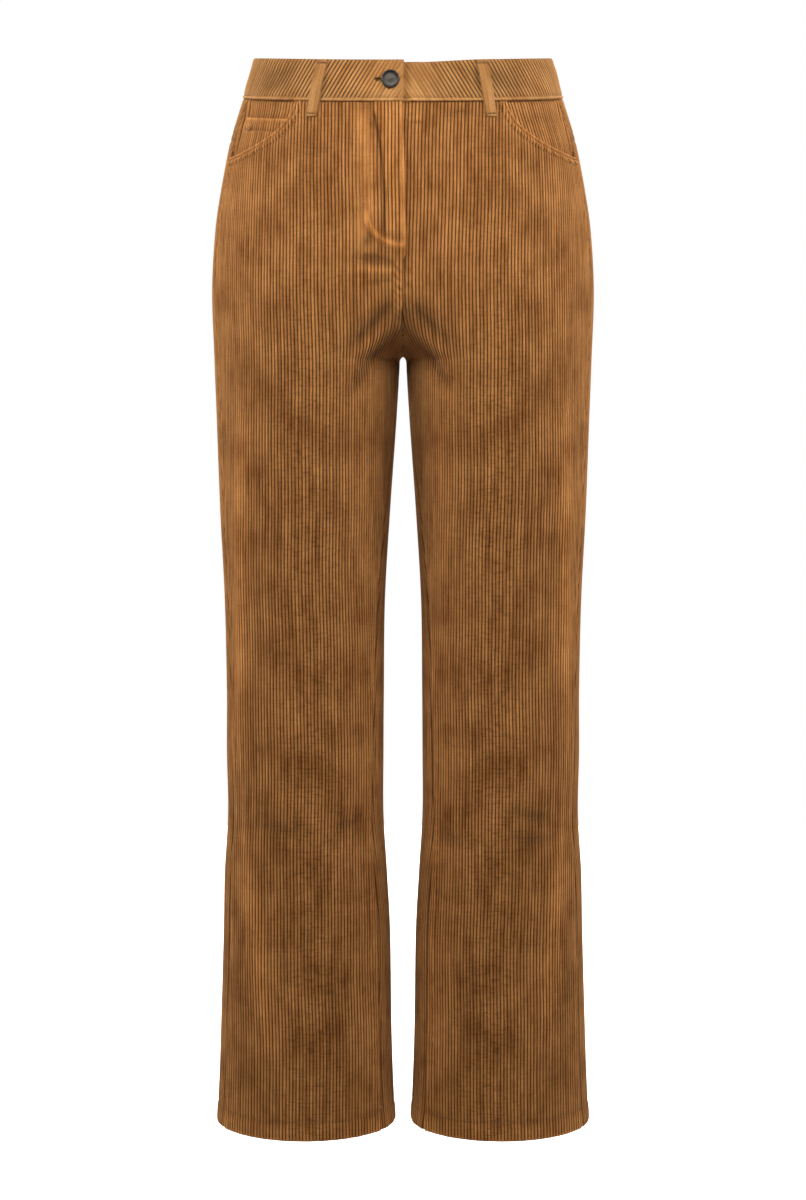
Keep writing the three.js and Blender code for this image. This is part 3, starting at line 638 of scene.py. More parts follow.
    def point(
        self, arc: np.ndarray, level: np.ndarray, rise: float = 0.0
    ) -> tuple[np.ndarray, np.ndarray]:
        """Returns places on the outer face, raised by rise, and their outward directions."""
        arc, level = np.broadcast_arrays(np.asarray(arc, float), np.asarray(level, float))
        base = self.form.place(self.side, self.panel, arc, level)
        reach = 0.8
        beyond = self.form.place(self.side, self.panel, arc + reach, level)
        above = self.form.place(self.side, self.panel, arc, level + reach)
        normal = np.cross(beyond - base, above - base)
        normal /= np.linalg.norm(normal, axis=-1, keepdims=True)
        normal *= self.facing()
        height = self.lift(arc, level) + self.relief(arc, level) + rise
        return base + normal * height[..., None], normal


def clean(face: list[int]) -> list[int]:
    """Returns a face without the corners that repeat the one before."""
    return [corner for place, corner in enumerate(face) if corner != face[place - 1]]


def quads(index: np.ndarray) -> np.ndarray:
    """Returns the four corners of each cell of a grid of vertex numbers, without empty cells."""
    a, b, c, d = index[:-1, :-1], index[1:, :-1], index[1:, 1:], index[:-1, 1:]
    faces = np.stack([a, b, c, d], axis=-1).reshape(-1, 4)
    empty = (faces[:, 0] == faces[:, 3]) & (faces[:, 1] == faces[:, 2])
    return faces[~empty]


def outward(points: np.ndarray, faces: np.ndarray) -> np.ndarray:
    """Returns the unit direction that each point's faces wind about."""
    a, b, c, d = (points[faces[:, corner]] for corner in range(4))
    cross = np.cross(c - a, d - b)
    total = np.zeros_like(points)
    for corner in range(4):
        np.add.at(total, faces[:, corner], cross)
    length = np.linalg.norm(total, axis=1, keepdims=True)
    return total / np.where(length > 0, length, 1)


def rim_faces(outer: np.ndarray, inner: np.ndarray, offset: int) -> list[list[int]]:
    """Returns the faces that join the edges of a sheet's outer and inner faces.

    Args:
        outer: Vertex numbers of the outer face, rows by columns.
        inner: Those of the inner face, which has fewer columns.
        offset: What an outer vertex's number lacks to that of the inner vertex beneath it.
    """
    faces = []
    for row, backwards in ((0, False), (-1, True)):
        fine = np.unique(outer[row])
        coarse = np.unique(inner[row]) - offset
        for start, end in zip(coarse[:-1], coarse[1:]):
            run = fine[(fine >= start) & (fine <= end)].tolist()
            face = run + [int(end) + offset, int(start) + offset]
            faces.append(face[::-1] if backwards else face)
    first, last = outer[:, 0], outer[:, -1]
    for upper, lower in zip(first[:-1].tolist(), first[1:].tolist()):
        faces.append([lower, upper, upper + offset, lower + offset])
    for upper, lower in zip(last[:-1].tolist(), last[1:].tolist()):
        faces.append([upper, lower, lower + offset, upper + offset])
    return faces


def mesh_object(
    name: str,
    points: np.ndarray,
    faces: list[list[int]],
    flat: np.ndarray | None = None,
    marks: dict[str, np.ndarray] | None = None,
) -> bpy.types.Object:
    """Makes an object in metres from points in millimetres.

    Args:
        name: The object's name.
        points: Places, one row each.
        faces: Vertex numbers of each face.
        flat: Where each point lies on the flat cloth, in millimetres.
        marks: Attributes of the points, by name.

    Returns:
        The object, linked to the scene.
    """
    used = np.unique(np.concatenate([np.array(face) for face in faces]))
    renumber = np.zeros(len(points), dtype=int)
    renumber[used] = np.arange(len(used))
    mesh = bpy.data.meshes.new(name)
    mesh.from_pydata((points[used] * MM).tolist(), [], [renumber[face].tolist() for face in faces])
    if flat is not None:
        corners = np.empty(len(mesh.loops), dtype=np.int32)
        mesh.loops.foreach_get("vertex_index", corners)
        layer = mesh.uv_layers.new(name="UVMap")
        layer.data.foreach_set("uv", (flat[used][corners] * MM).astype(np.float32).reshape(-1))
    for label, values in (marks or {}).items():
        attribute = mesh.attributes.new(label, "FLOAT", "POINT")
        attribute.data.foreach_set("value", values[used].astype(np.float32))
    mesh.validate()
    mesh.shade_smooth()
    mesh.set_sharp_from_angle(angle=math.radians(SHARP))
    made = bpy.data.objects.new(name, mesh)
    bpy.context.scene.collection.objects.link(made)
    return made


# ---------- paths on the flat cloth ----------


def path_distance(arc: np.ndarray, level: np.ndarray, path: np.ndarray) -> np.ndarray:
    """Returns how far each place is from a path of (arc, level) points."""
    nearest = np.full(arc.shape, np.inf)
    for start, end in zip(path[:-1], path[1:]):
        run = end - start
        share = ((arc - start[0]) * run[0] + (level - start[1]) * run[1]) / max(float(run @ run), 1e-9)
        share = np.clip(share, 0, 1)
        away = np.hypot(arc - start[0] - run[0] * share, level - start[1] - run[1] * share)
        nearest = np.minimum(nearest, away)
    return nearest


def offset_path(path: np.ndarray, distance: float) -> np.ndarray:
    """Returns a path moved sideways, to the right of its direction."""
    run = np.gradient(path, axis=0)
    run /= np.linalg.norm(run, axis=1, keepdims=True)
    return path + distance * np.stack([run[:, 1], -run[:, 0]], axis=1)


# ---------- leg panels ----------

FLY_ROWS = (32.5, 38.5)  # how far the two rows that hold the fly lie from its edge
FLY_MIDDLE = sum(FLY_ROWS) / len(FLY_ROWS)
FORK_ROWS = 13
FORK_UNIT = 0.12  # the rows close up towards the fork as squares of this
CROTCH_ROWS = (-212.0, -336.0)  # the rows are closer between these levels
HEM_STITCH = HEM + HEM_TURN - 1.5


def leg_levels(
    start: float, rise: float, spacing: float, knee: tuple[float, float], fine: float
) -> list[float]:
    """Returns the rows of a leg panel below its shaped top.

    Args:
        start: The level to start from.
        rise: Distance between two rows above the crotch.
        spacing: Usual distance between two rows.
        knee: The levels between which the rows are closer.
        fine: The closer spacing, at the crotch and the knee.
    """
    reach = FORK_UNIT * FORK_ROWS**2
    squares = [FORK_UNIT * count * abs(count) for count in range(FORK_ROWS, -FORK_ROWS - 1, -1)]
    upper = spaced(((start, rise), (CROTCH_ROWS[0], fine)), FORK + reach)
    middle = [FORK + square for square in squares]
    below = ((FORK - reach, fine), (CROTCH_ROWS[1], spacing), (knee[0], fine), (knee[1], spacing))
    hem = ((HEM_STITCH + 5, 1.3), (HEM_STITCH - 5, 4.0), (HEM + 3.6, 0.9))
    return upper[1:-1] + middle + spaced(below + hem, HEM)[1:]


def fly_inner(side: int, level: np.ndarray) -> np.ndarray:
    """Returns the arc of a front's edge along the fly, which closes into the centre seam."""
    closing = smooth_step(FLY_END, FLY_END - FLY_FOOT, level)
    edge = mix(0, FLY_LEAN, (level - WAIST_SEAM) / (FLY_END - WAIST_SEAM))
    if side < 0:
        return np.where(level < FLY_END, mix(-FLY_LEAN, 0, closing), -edge)
    return np.where(level > FLY_END, -FLY_UNDERLAP, mix(FLY_LEAN + SEAM_GAP, 0, closing))


def hem_relief(level: np.ndarray, arc: np.ndarray, seed: float) -> np.ndarray:
    """Returns the swelling of a turned-up hem, its stitched groove and its rounded edge."""
    turned = 0.5 * strip(level, HEM - 9, HEM_STITCH - 1, 6) * (1 + 0.5 * puckers(arc, 17, seed))
    return turned - 0.55 * groove(level, HEM_STITCH, 1.1) - 0.8 * groove(level, HEM, 1.2)


def leg_crush(across: np.ndarray, level: np.ndarray) -> np.ndarray:
    """Returns how marked a leg's pile is, by the distance from the grain line and the level."""
    middle = np.exp(-(((across + 8) / 34) ** 2))
    return 0.25 + middle * mix(0.35, 0.75, smooth_step(-150, -330, level))


def seam_roll(distance: np.ndarray, depth: float, width: float = 1.5) -> np.ndarray:
    """Returns how the cloth rolls down into a seam at its edge."""
    return -depth * groove(np.maximum(distance, 0), 0, width)


@dataclass
class LegPanel(ClothPiece):
    """What a front and a back have in common."""

    def crush(self, arc: np.ndarray, level: np.ndarray) -> np.ndarray:
        """Returns how strongly the pile is marked by wear, most down the middle of the leg."""
        return leg_crush(arc - self.form.line("grain", self.panel, level), level)

    def wall(self, level: np.ndarray) -> np.ndarray:
        """Returns the thickness of the cloth, which is doubled at the hem."""
        return mix(HEM_WALL, WALL, smooth_step(HEM + HEM_TURN - 1, HEM + HEM_TURN, level))


@dataclass
class FrontPanel(LegPanel):
    """A front, from the waist seam and the pocket mouth down to the hem.

    bend_drop and bend_foot set the height and place of the bend in the fly's stitching.
    """

    pocket_start: float = 104.0
    scoop_depth: float = 57.0
    scoop_power: float = 1.6
    bend_drop: float = 24.0
    bend_foot: float = 40.0
    foot_level: float = TOP_BLOCK_END
    crease_line: tuple[tuple[float, float], ...] = (
        (28, 27.5),
        (47, 22.5),
        (72, 19.5),
        (112, 17),
        (160, 17),
    )

    def rows(self) -> np.ndarray:
        """Returns the rows of the mesh as weights of (top, foot, 1)."""
        block = rows_between((0, 0.7, 1.5, 2.4, 3.6, 5.0, 6.4, 7.6, 9.0, 10.5), 22)
        leg = leg_levels(self.foot_level, 2.6, 5.6, (-690, -760), 3.3)
        return np.concatenate([block, rows_down(leg)])

    def top(self, arc: np.ndarray) -> np.ndarray:
        """Returns the level of the waist seam and of the scooped pocket mouth."""
        level = np.full_like(arc, WAIST_SEAM)
        power = self.scoop_power
        for _ in range(6):
            seam = self.outer(level)
            across = np.clip((seam - arc) / (seam - self.pocket_start), 0, 1)
            level = WAIST_SEAM - self.scoop_depth * (1 - across**power) ** (1 / power)
        return np.minimum(level, self.top_level)

    def inner(self, level: np.ndarray) -> np.ndarray:
        """Returns the arc of the fly, the centre seam and the inside leg seam."""
        seam = self.form.line("in_seam", F, level) + SEAM_GAP / 2
        return np.where(level > FORK, fly_inner(self.side, level), seam)

    def meets_centre(self, level: np.ndarray) -> np.ndarray:
        """Returns where the two fronts are sewn together, between the fly and the fork."""
        return (level > FORK) & (level < FLY_END - FLY_FOOT)

    def lift(self, arc: np.ndarray, level: np.ndarray) -> np.ndarray:
        """Returns the step of the left front under the fly."""
        if self.side < 0:
            return np.zeros_like(arc)
        depth = smooth_step(FLY_END - 2 * FLY_FOOT, FLY_END - FLY_FOOT, level)
        return -LAYER * depth * (1 - smooth_step(4.5, 12, arc))

    def mouth_path(self) -> np.ndarray:
        """Returns the pocket mouth as (arc, level) points, from the waist seam to the side."""
        turn = np.linspace(0, math.pi / 2, 48)
        level = WAIST_SEAM - self.scoop_depth * np.sin(turn) ** (2 / self.scoop_power)
        arc = mix(self.outer(level), self.pocket_start, np.cos(turn) ** (2 / self.scoop_power))
        return np.stack([arc, level], axis=1)

    def fly_path(self, distance: float) -> np.ndarray:
        """Returns the stitching that holds the fly: straight down, then round to the centre.

        Args:
            distance: How far the row lies from the fly's edge.
        """
        turn = np.linspace(0, math.pi / 2, 16)
        across, drop = distance - 1, self.bend_drop + distance / 5
        foot = FLY_END + self.bend_foot - distance
        bend = np.stack([across * np.cos(turn), foot + drop - drop * np.sin(turn)], axis=1)
        return np.concatenate([[[across, WAIST_SEAM - 3]], bend])

    def relief(self, arc: np.ndarray, level: np.ndarray) -> np.ndarray:
        """Returns the folds, seams and stitched edges of the front."""
        height = self.form.fold_height(self.side, F, arc, level)
        seed = 1.7 if self.side < 0 else 4.1
        mouth = path_distance(arc, level, self.mouth_path())
        pulled = 0.7 + 0.9 * puckers(arc - 0.8 * level, 5.5, seed)
        height += 0.8 * groove(mouth, 0.6, 0.9) + 1.0 * strip(mouth, 2.4, 7.2, 1.6) * pulled
        height -= 0.8 * (groove(mouth, 2.4, 0.7) + groove(mouth, 7.8, 1.0))
        height += seam_roll(WAIST_SEAM - level, 1.2, 1.5)
        from_side = self.outer(level) - arc
        below_mouth = smooth_step(-70, -90, level)
        raised = strip(from_side, 1.4, 9.5, 2.2) * (0.45 + 0.25 * puckers(level, 15, seed))
        height += below_mouth * (seam_roll(from_side, 1.1) + raised)
        from_inner = arc - self.inner(level)
        in_leg = smooth_step(FORK + 30, FORK - 10, level)
        pull = mix(0.3, 0.95, smooth_step(-420, -760, level))
        raised = strip(from_inner, 1.4, 11.5, 2.4) * pull * (0.75 + 0.5 * puckers(level, 13, seed + 1))
        height += in_leg * (seam_roll(from_inner, 1.2) + raised)
        return height + self.centre_relief(arc, level) + hem_relief(level, arc, seed)

    def rib_share(self, arc: np.ndarray, level: np.ndarray) -> np.ndarray:
        """Returns how full the ribs stand: pressed flat at the mouth and beside the fly's rows."""
        mouth = path_distance(arc, level, self.mouth_path())
        pressed = 0.7 * groove(mouth, 0.3, 1.2)
        if self.side < 0:
            on_fly = smooth_step(-190, -150, level)
            pressed = pressed + 0.45 * on_fly * groove(arc, 36, 8) + 0.5 * on_fly * groove(arc, -1, 2.4)
            middle = path_distance(arc, level, self.fly_path(FLY_MIDDLE))
            pressed = pressed + 0.5 * smooth_step(-126, -144, level) * groove(middle, 0, 3)
        hem = 0.5 * groove(level, HEM, 1.6)
        return 1 - np.clip(pressed + hem, 0, 0.85)

    def centre_relief(self, arc: np.ndarray, level: np.ndarray) -> np.ndarray:
        """Returns the raised fly or the cloth beside it, and the pulled seam above the fork."""
        in_rise = smooth_step(FORK + 10, FORK + 34, level) * smooth_step(FLY_END - 4, FLY_END - 16, level)
        seam = in_rise * seam_roll(np.abs(arc), 1.0, 1.3)
        if self.side > 0:
            return seam + in_rise * 0.3 * strip(arc, 1, 9, 2) * puckers(level, 11, 2.2)
        pulled = in_rise * strip(arc, 0.8, 9, 2) * (0.8 + 0.95 * puckers(level - 0.9 * arc, 8, 0.6))
        on_fly = smooth_step(-156, -146, level)
        crease_at = np.interp(-level, *np.array(self.crease_line).T)
        plump = 0.8 * on_fly * strip(arc, -12, crease_at, 2.2)
        crease_share = smooth_step(-172, -140, level) * smooth_step(-24, -34, level)
        crease = 0.5 * groove(arc, crease_at - 4, 2.6) - 1.5 * groove(arc, crease_at, 1.5)
        crease = crease_share * crease + 0.7 * crease_share * groove(arc, crease_at + 13, 8)
        from_edge = arc - self.inner(level)
        edge = seam_roll(from_edge, 0.5, 0.6) + 0.6 * groove(from_edge, 2.2, 1.5)
        edge = (edge - 0.4 * groove(from_edge, 4.8, 1.0)) * smooth_step(FLY_END, FLY_END + 6, level)
        stitched = 0.0
        for distance in FLY_ROWS:
            away = path_distance(arc, level, self.fly_path(distance))
            stitched = stitched - 0.5 * groove(away, 0, 0.9)
        middle = path_distance(arc, level, self.fly_path(FLY_MIDDLE))
        bend = smooth_step(-126, -144, level) * (1.9 + 0.4 * puckers(arc + level, 9, 1.4))
        return seam + pulled + plump + crease + edge + stitched + bend * groove(middle, 0, 2.4)


@dataclass
class BackPanel(LegPanel):
    """A back, from the yoke seam down to the hem."""

    panel: Panel = B
    foot_level: float = -122.0

    def rows(self) -> np.ndarray:
        """Returns the rows of the mesh as weights of (top, foot, 1)."""
        block = rows_between((0, 0.7, 1.6, 2.8, 4.4), 7)
        leg = leg_levels(self.foot_level, 7.0, 7.0, (-618, -690), 4.2)
        return np.concatenate([block, rows_down(leg)])

    def top(self, arc: np.ndarray) -> np.ndarray:
        """Returns the level of the yoke seam."""
        return yoke_seam(self.form, arc) - SEAM_GAP / 2

    def inner(self, level: np.ndarray) -> np.ndarray:
        """Returns the arc of the centre seam and the inside leg seam."""
        return self.form.line("in_seam", B, level) + np.where(level <= FORK, SEAM_GAP / 2, 0)

    def meets_centre(self, level: np.ndarray) -> np.ndarray:
        """Returns where the two backs are sewn together, above the fork."""
        return level > FORK

    def relief(self, arc: np.ndarray, level: np.ndarray) -> np.ndarray:
        """Returns the folds and seams of the back."""
        height = self.form.fold_height(self.side, B, arc, level)
        seed = 0.4 if self.side < 0 else 2.9
        height += seam_roll(self.top(arc) - level, 0.9)
        height += seam_roll(self.outer(level) - arc, 1.1)
        from_inner = arc - self.inner(level)
        raised = 0.3 * strip(from_inner, 1.4, 10, 2.4) * (0.6 + 0.6 * puckers(level, 14, seed))
        return height + seam_roll(from_inner, 1.1) + raised + hem_relief(level, arc, seed)


def yoke_seam(form: TrouserForm, arc: np.ndarray) -> np.ndarray:
    """Returns the level of the yoke seam at an arc from centre back."""
    level = np.full_like(arc, YOKE_SIDE)
    for _ in range(5):
        level = mix(YOKE_CENTRE, YOKE_SIDE, arc / (form.line("out_seam", B, level) - SEAM_GAP / 2))
    return level


@dataclass
class Yoke(ClothPiece):
    """The shaped piece between the waistband and a back, deepest at centre back."""

    panel: Panel = B

    def rows(self) -> np.ndarray:
        """Returns the rows of the mesh as weights of (top, foot, 1)."""
        return rows_between((0, 0.7, 1.6, 2.8), 12, (8.2, 7.0, 5.8, 4.2, 3.0, 1.8, 0.9, 0.0))

    def foot(self, arc: np.ndarray) -> np.ndarray:
        """Returns the level of the yoke seam."""
        return yoke_seam(self.form, arc) + SEAM_GAP / 2

    def inner(self, level: np.ndarray) -> np.ndarray:
        """Returns the arc of the centre seam."""
        return np.zeros_like(level)

    def meets_centre(self, level: np.ndarray) -> np.ndarray:
        """Returns where the two yokes are sewn together: all the way."""
        return np.ones_like(level, dtype=bool)

    def relief(self, arc: np.ndarray, level: np.ndarray) -> np.ndarray:
        """Returns the yoke's rolled seams and its two stitched grooves."""
        above = level - self.foot(arc)
        height = seam_roll(WAIST_SEAM - level, 0.9, 1.7) + seam_roll(above, 0.6, 0.8)
        height += seam_roll(self.outer(level) - arc, 1.0) + seam_roll(arc, 0.8)
        return height - 0.45 * (groove(above, 1.8, 0.8) + groove(above, 7.0, 0.9))


# ---------- pockets ----------


def hidden_ease(level: np.ndarray) -> np.ndarray:
    """Returns how much further in a hidden layer lies below the pocket mouth."""
    return HIDDEN_EASE * smooth_step(-62, -78, level)


@dataclass
class HipFacing(ClothPiece):
    """The piece of ribbed cloth that shows inside a scooped pocket mouth."""

    lean: float = 19.0
    pocket_start: float = 104.0
    foot_level: float = -100.0

    def rows(self) -> np.ndarray:
        """Returns the rows of the mesh as weights of (top, foot, 1)."""
        return rows_between((0, 0.7, 1.6, 2.8, 4.4), 22)

    def inner(self, level: np.ndarray) -> np.ndarray:
        """Returns the arc of the hidden edge behind the front."""
        return np.full_like(level, self.pocket_start - 22)

    def lift(self, arc: np.ndarray, level: np.ndarray) -> np.ndarray:
        """Returns how far the facing lies behind the front, and behind the coin pocket."""
        behind = HIDDEN_EASE * smooth_step(self.pocket_start, self.pocket_start - 12, arc)
        beneath = 0.0
        if self.side < 0:
            beneath = LAYER * smooth_step(WAIST_SEAM, WAIST_SEAM - 10, level)
            beneath = beneath * smooth_step(0.5, 9, self.outer(level) - arc)
        from_side = self.outer(level) - arc
        flush = LAYER * (1 - smooth_step(1.0, 8, from_side)) * smooth_step(-74, -66, level)
        return flush - LAYER - beneath - np.maximum(behind, hidden_ease(level))

    def relief(self, arc: np.ndarray, level: np.ndarray) -> np.ndarray:
        """Returns the rolled seams at the waist and the side."""
        soft = -0.7 * groove(level, -36, 5) * smooth_step(self.pocket_start, self.pocket_start + 30, arc)
        side = seam_roll(self.outer(level) - arc, 1.0)
        return seam_roll(WAIST_SEAM - level, 0.9, 1.7) + side + (soft if self.side < 0 else 0.5 * soft)


@dataclass
class CoinPocket(ClothPiece):
    """The small pocket on the right facing; its foot is hidden behind the front."""

    lean: float = 11.0
    width: float = 71.0
    from_seam: float = 9.0
    top_level: float = -36.0
    foot_level: float = -96.0
    hem: float = 11.5

    def rows(self) -> np.ndarray:
        """Returns the rows of the mesh as weights of (top, foot, 1)."""
        return rows_between((0, 0.6, 1.4, 2.6, 5.0, 7.5, 9.6, 10.6, 11.5, 12.4, 13.6), 15)

    def inner(self, level: np.ndarray) -> np.ndarray:
        """Returns the arc of the edge behind the front."""
        return self.outer(level) - self.width

    def outer(self, level: np.ndarray) -> np.ndarray:
        """Returns the arc of the edge beside the side seam."""
        return super().outer(level) - self.from_seam

    def lift(self, arc: np.ndarray, level: np.ndarray) -> np.ndarray:
        """Returns how far the pocket lies behind the front."""
        return -LAYER - hidden_ease(level)

    def relief(self, arc: np.ndarray, level: np.ndarray) -> np.ndarray:
        """Returns the folded mouth and its stitched groove."""
        below = self.top_level - level
        height = 0.9 * groove(below, 1.0, 1.2) + 0.3 * strip(below, 1, self.hem, 3)
        height += 0.5 * groove(below, self.hem + 2.4, 1.4) - 0.9 * groove(below, self.hem, 1.1)
        return height + seam_roll(self.outer(level) - arc, 0.8)

    def rib_share(self, arc: np.ndarray, level: np.ndarray) -> np.ndarray:
        """Returns how full the ribs stand: pressed flat along the mouth."""
        return 1 - 0.7 * groove(self.top_level - level, 0.6, 1.6)

    def hem_path(self) -> np.ndarray:
        """Returns the row of stitches below the mouth."""
        level = np.array([self.top_level - self.hem])
        edge = float(self.outer(level)[0])
        return np.array([[edge - self.width + 3, level[0]], [edge - 1.5, level[0]]])


@dataclass
class BackPocket(ClothPiece):
    """A patch with a pointed foot, sewn on a back with its mouth along the yoke."""

    panel: Panel = B
    centre: float = 101.0
    top_width: float = 136.0
    foot_width: float = 118.0
    drop: float = 28.0
    depth: float = 120.0
    point_drop: float = 22.0
    hem: float = 13.0
    height: float = 2.6

    def rows(self) -> np.ndarray:
        """Returns the rows of the mesh as weights of (top, foot, 1)."""
        drops = (0, 0.6, 1.4, 2.6, 6.0, 9.5, 12.0, 13.0, 14.0, 15.5)
        return rows_between(drops, 24, (8.2, 7.0, 5.8, 4.0, 2.8, 1.8, 0.9, 0.0))

    def top(self, arc: np.ndarray) -> np.ndarray:
        """Returns the level of the pocket's mouth."""
        seam = self.form.line("out_seam", B, np.array(YOKE_SIDE))
        return mix(YOKE_CENTRE, YOKE_SIDE, arc / seam) - self.drop

    def foot(self, arc: np.ndarray) -> np.ndarray:
        """Returns the level of the pointed foot."""
        share = np.clip(np.abs(arc - self.centre) / self.foot_width, 0, 0.5)
        return self.top(arc) - self.depth - self.point_drop * (1 - 2 * share)

    def half_width(self, level: np.ndarray) -> np.ndarray:
        """Returns half the pocket's width, which tapers to its foot."""
        share = np.clip((self.top(np.array(self.centre)) - level) / self.depth, 0, 1)
        return mix(self.top_width, self.foot_width, share) / 2

    def inner(self, level: np.ndarray) -> np.ndarray:
        """Returns the arc of the edge nearer centre back."""
        return self.centre - self.half_width(level)

    def outer(self, level: np.ndarray) -> np.ndarray:
        """Returns the arc of the edge nearer the side."""
        return self.centre + self.half_width(level)

    def lift(self, arc: np.ndarray, level: np.ndarray) -> np.ndarray:
        """Returns the height of the pocket's outer face above the back."""
        return np.full_like(arc, self.height)

    def relief(self, arc: np.ndarray, level: np.ndarray) -> np.ndarray:
        """Returns the folded edges and the stitched grooves."""
        below, above = self.top(arc) - level, level - self.foot(arc)
        edge = np.minimum(np.minimum(arc - self.inner(level), self.outer(level) - arc), above)
        height = seam_roll(edge, 0.9, 1.0) + seam_roll(below, 0.7, 0.9)
        height -= 0.45 * (groove(edge, 2.0, 0.8) + groove(edge, 7.5, 0.9))
        return height + 0.3 * strip(below, 1, self.hem, 3) - 0.5 * groove(below, self.hem, 1.0)

    def edge_path(self, distance: float) -> np.ndarray:
        """Returns a row of stitches round the sides and the pointed foot.

        Args:
            distance: How far the row lies inside the pocket's edge.
        """
        steps = np.linspace(0, 1, 14)
        rows = []
        for sign in (-1, 1):
            arc = self.centre + sign * (self.foot_width / 2 - distance)
            bottom = float(self.foot(np.array(arc))) + distance
            upper = float(self.top(np.array(self.centre + sign * self.top_width / 2))) - 1.5
            level = mix(upper, bottom, steps)
            side = self.centre + sign * (self.half_width(level) - distance)
            rows.append(np.stack([side, level], axis=1))
        tip = [[self.centre, float(self.foot(np.array(self.centre))) + distance * 1.05]]
        return np.concatenate([rows[0], tip, rows[1][::-1]])

    def hem_path(self) -> np.ndarray:
        """Returns the row of stitches below the mouth."""
        arc = self.centre + np.linspace(-0.5, 0.5, 9) * (self.top_width - 4)
        return np.stack([arc, self.top(arc) - self.hem], axis=1)


# ---------- waistband and belt loops ----------


@dataclass
class Waistband(ClothPiece):
    """Half of the waistband, cut on the bias; the left end runs on under the right one."""

    lean: float = 32.0
    proud: float = 0.6
    thickness: float = 3.0
    foot_level: float = WAIST_SEAM + WAIST_GAP / 2
    lap: float = 1.0
    underlap: float = 28.0
    left_drop: float = 2.8

    def rows(self) -> np.ndarray:
        """Returns the rows of the mesh as weights of (top, foot, 1)."""
        return rows_between((0, 0.5, 1.2, 2.2, 3.4), 13, (5.0, 3.6, 2.6, 1.7, 0.9, 0.4, 0.0))

    def origin(self, level: np.ndarray) -> np.ndarray:
        """Returns the arc of the rib that the columns are counted from."""
        return -math.tan(math.radians(self.lean)) * level

    def top(self, arc: np.ndarray) -> np.ndarray:
        """Returns the level of the upper edge, which sinks a little behind the button."""
        if self.side < 0:
            return np.full_like(arc, BAND_TOP)
        return BAND_TOP - self.left_drop * (1 - smooth_step(0, 80, arc))

    def inner(self, level: np.ndarray) -> np.ndarray:
        """Returns the arc of the band's end at centre front."""
        return np.full_like(level, -self.lap if self.side < 0 else -self.underlap)

    def outer(self, level: np.ndarray) -> np.ndarray:
        """Returns the arc of centre back."""
        return np.interp(level, self.form.levels, self.form.perimeter)

    def lift(self, arc: np.ndarray, level: np.ndarray) -> np.ndarray:
        """Returns the height above the form, and the left band's step under the right one."""
        if self.side < 0:
            return np.full_like(arc, self.proud)
        return self.proud - (self.thickness + SEAM_GAP) * (1 - smooth_step(2.5, 9, arc))

    def relief(self, arc: np.ndarray, level: np.ndarray) -> np.ndarray:
        """Returns the rounded edges and the stitched groove above the seam."""
        below, above = self.top(arc) - level, level - self.foot(arc)
        height = seam_roll(below, 1.0, 0.9) + seam_roll(above, 0.4, 0.5)
        height += seam_roll(arc - self.inner(level), 0.9, 1.0)
        seed = 0.4 if self.side < 0 else 2.0
        swell = 0.5 * np.sin(arc / 31 + seed) + 0.3 * np.sin(arc / 13 + level / 9 + 2 * seed)
        ridge = 0.5 * groove(above, 1.5, 0.8) * (1 + 0.4 * puckers(arc, 7, seed))
        return height + ridge - 0.65 * groove(above, 3.2, 0.9) + swell * strip(below, 4, 34, 10)

    def rib_share(self, arc: np.ndarray, level: np.ndarray) -> np.ndarray:
        """Returns how full the ribs stand: pressed along the edges and round the button."""
        above = level - self.foot(arc)
        pressed = 0.7 * groove(above, 1.2, 1.4) + 0.45 * groove(arc, 6, 26)
        end = 0.4 * groove(arc - self.inner(level), 0, 3.0)
        return 1 - np.clip(pressed + end, 0, 0.85)

    def edge_path(self, rise: float) -> np.ndarray:
        """Returns a row of stitches that runs at a height above the waist seam."""
        start = 2.0 if self.side < 0 else 10.0
        arc = np.linspace(start, float(self.outer(np.array(WAIST_SEAM))) - 1, 160)
        return np.stack([arc, self.foot(arc) + rise], axis=1)


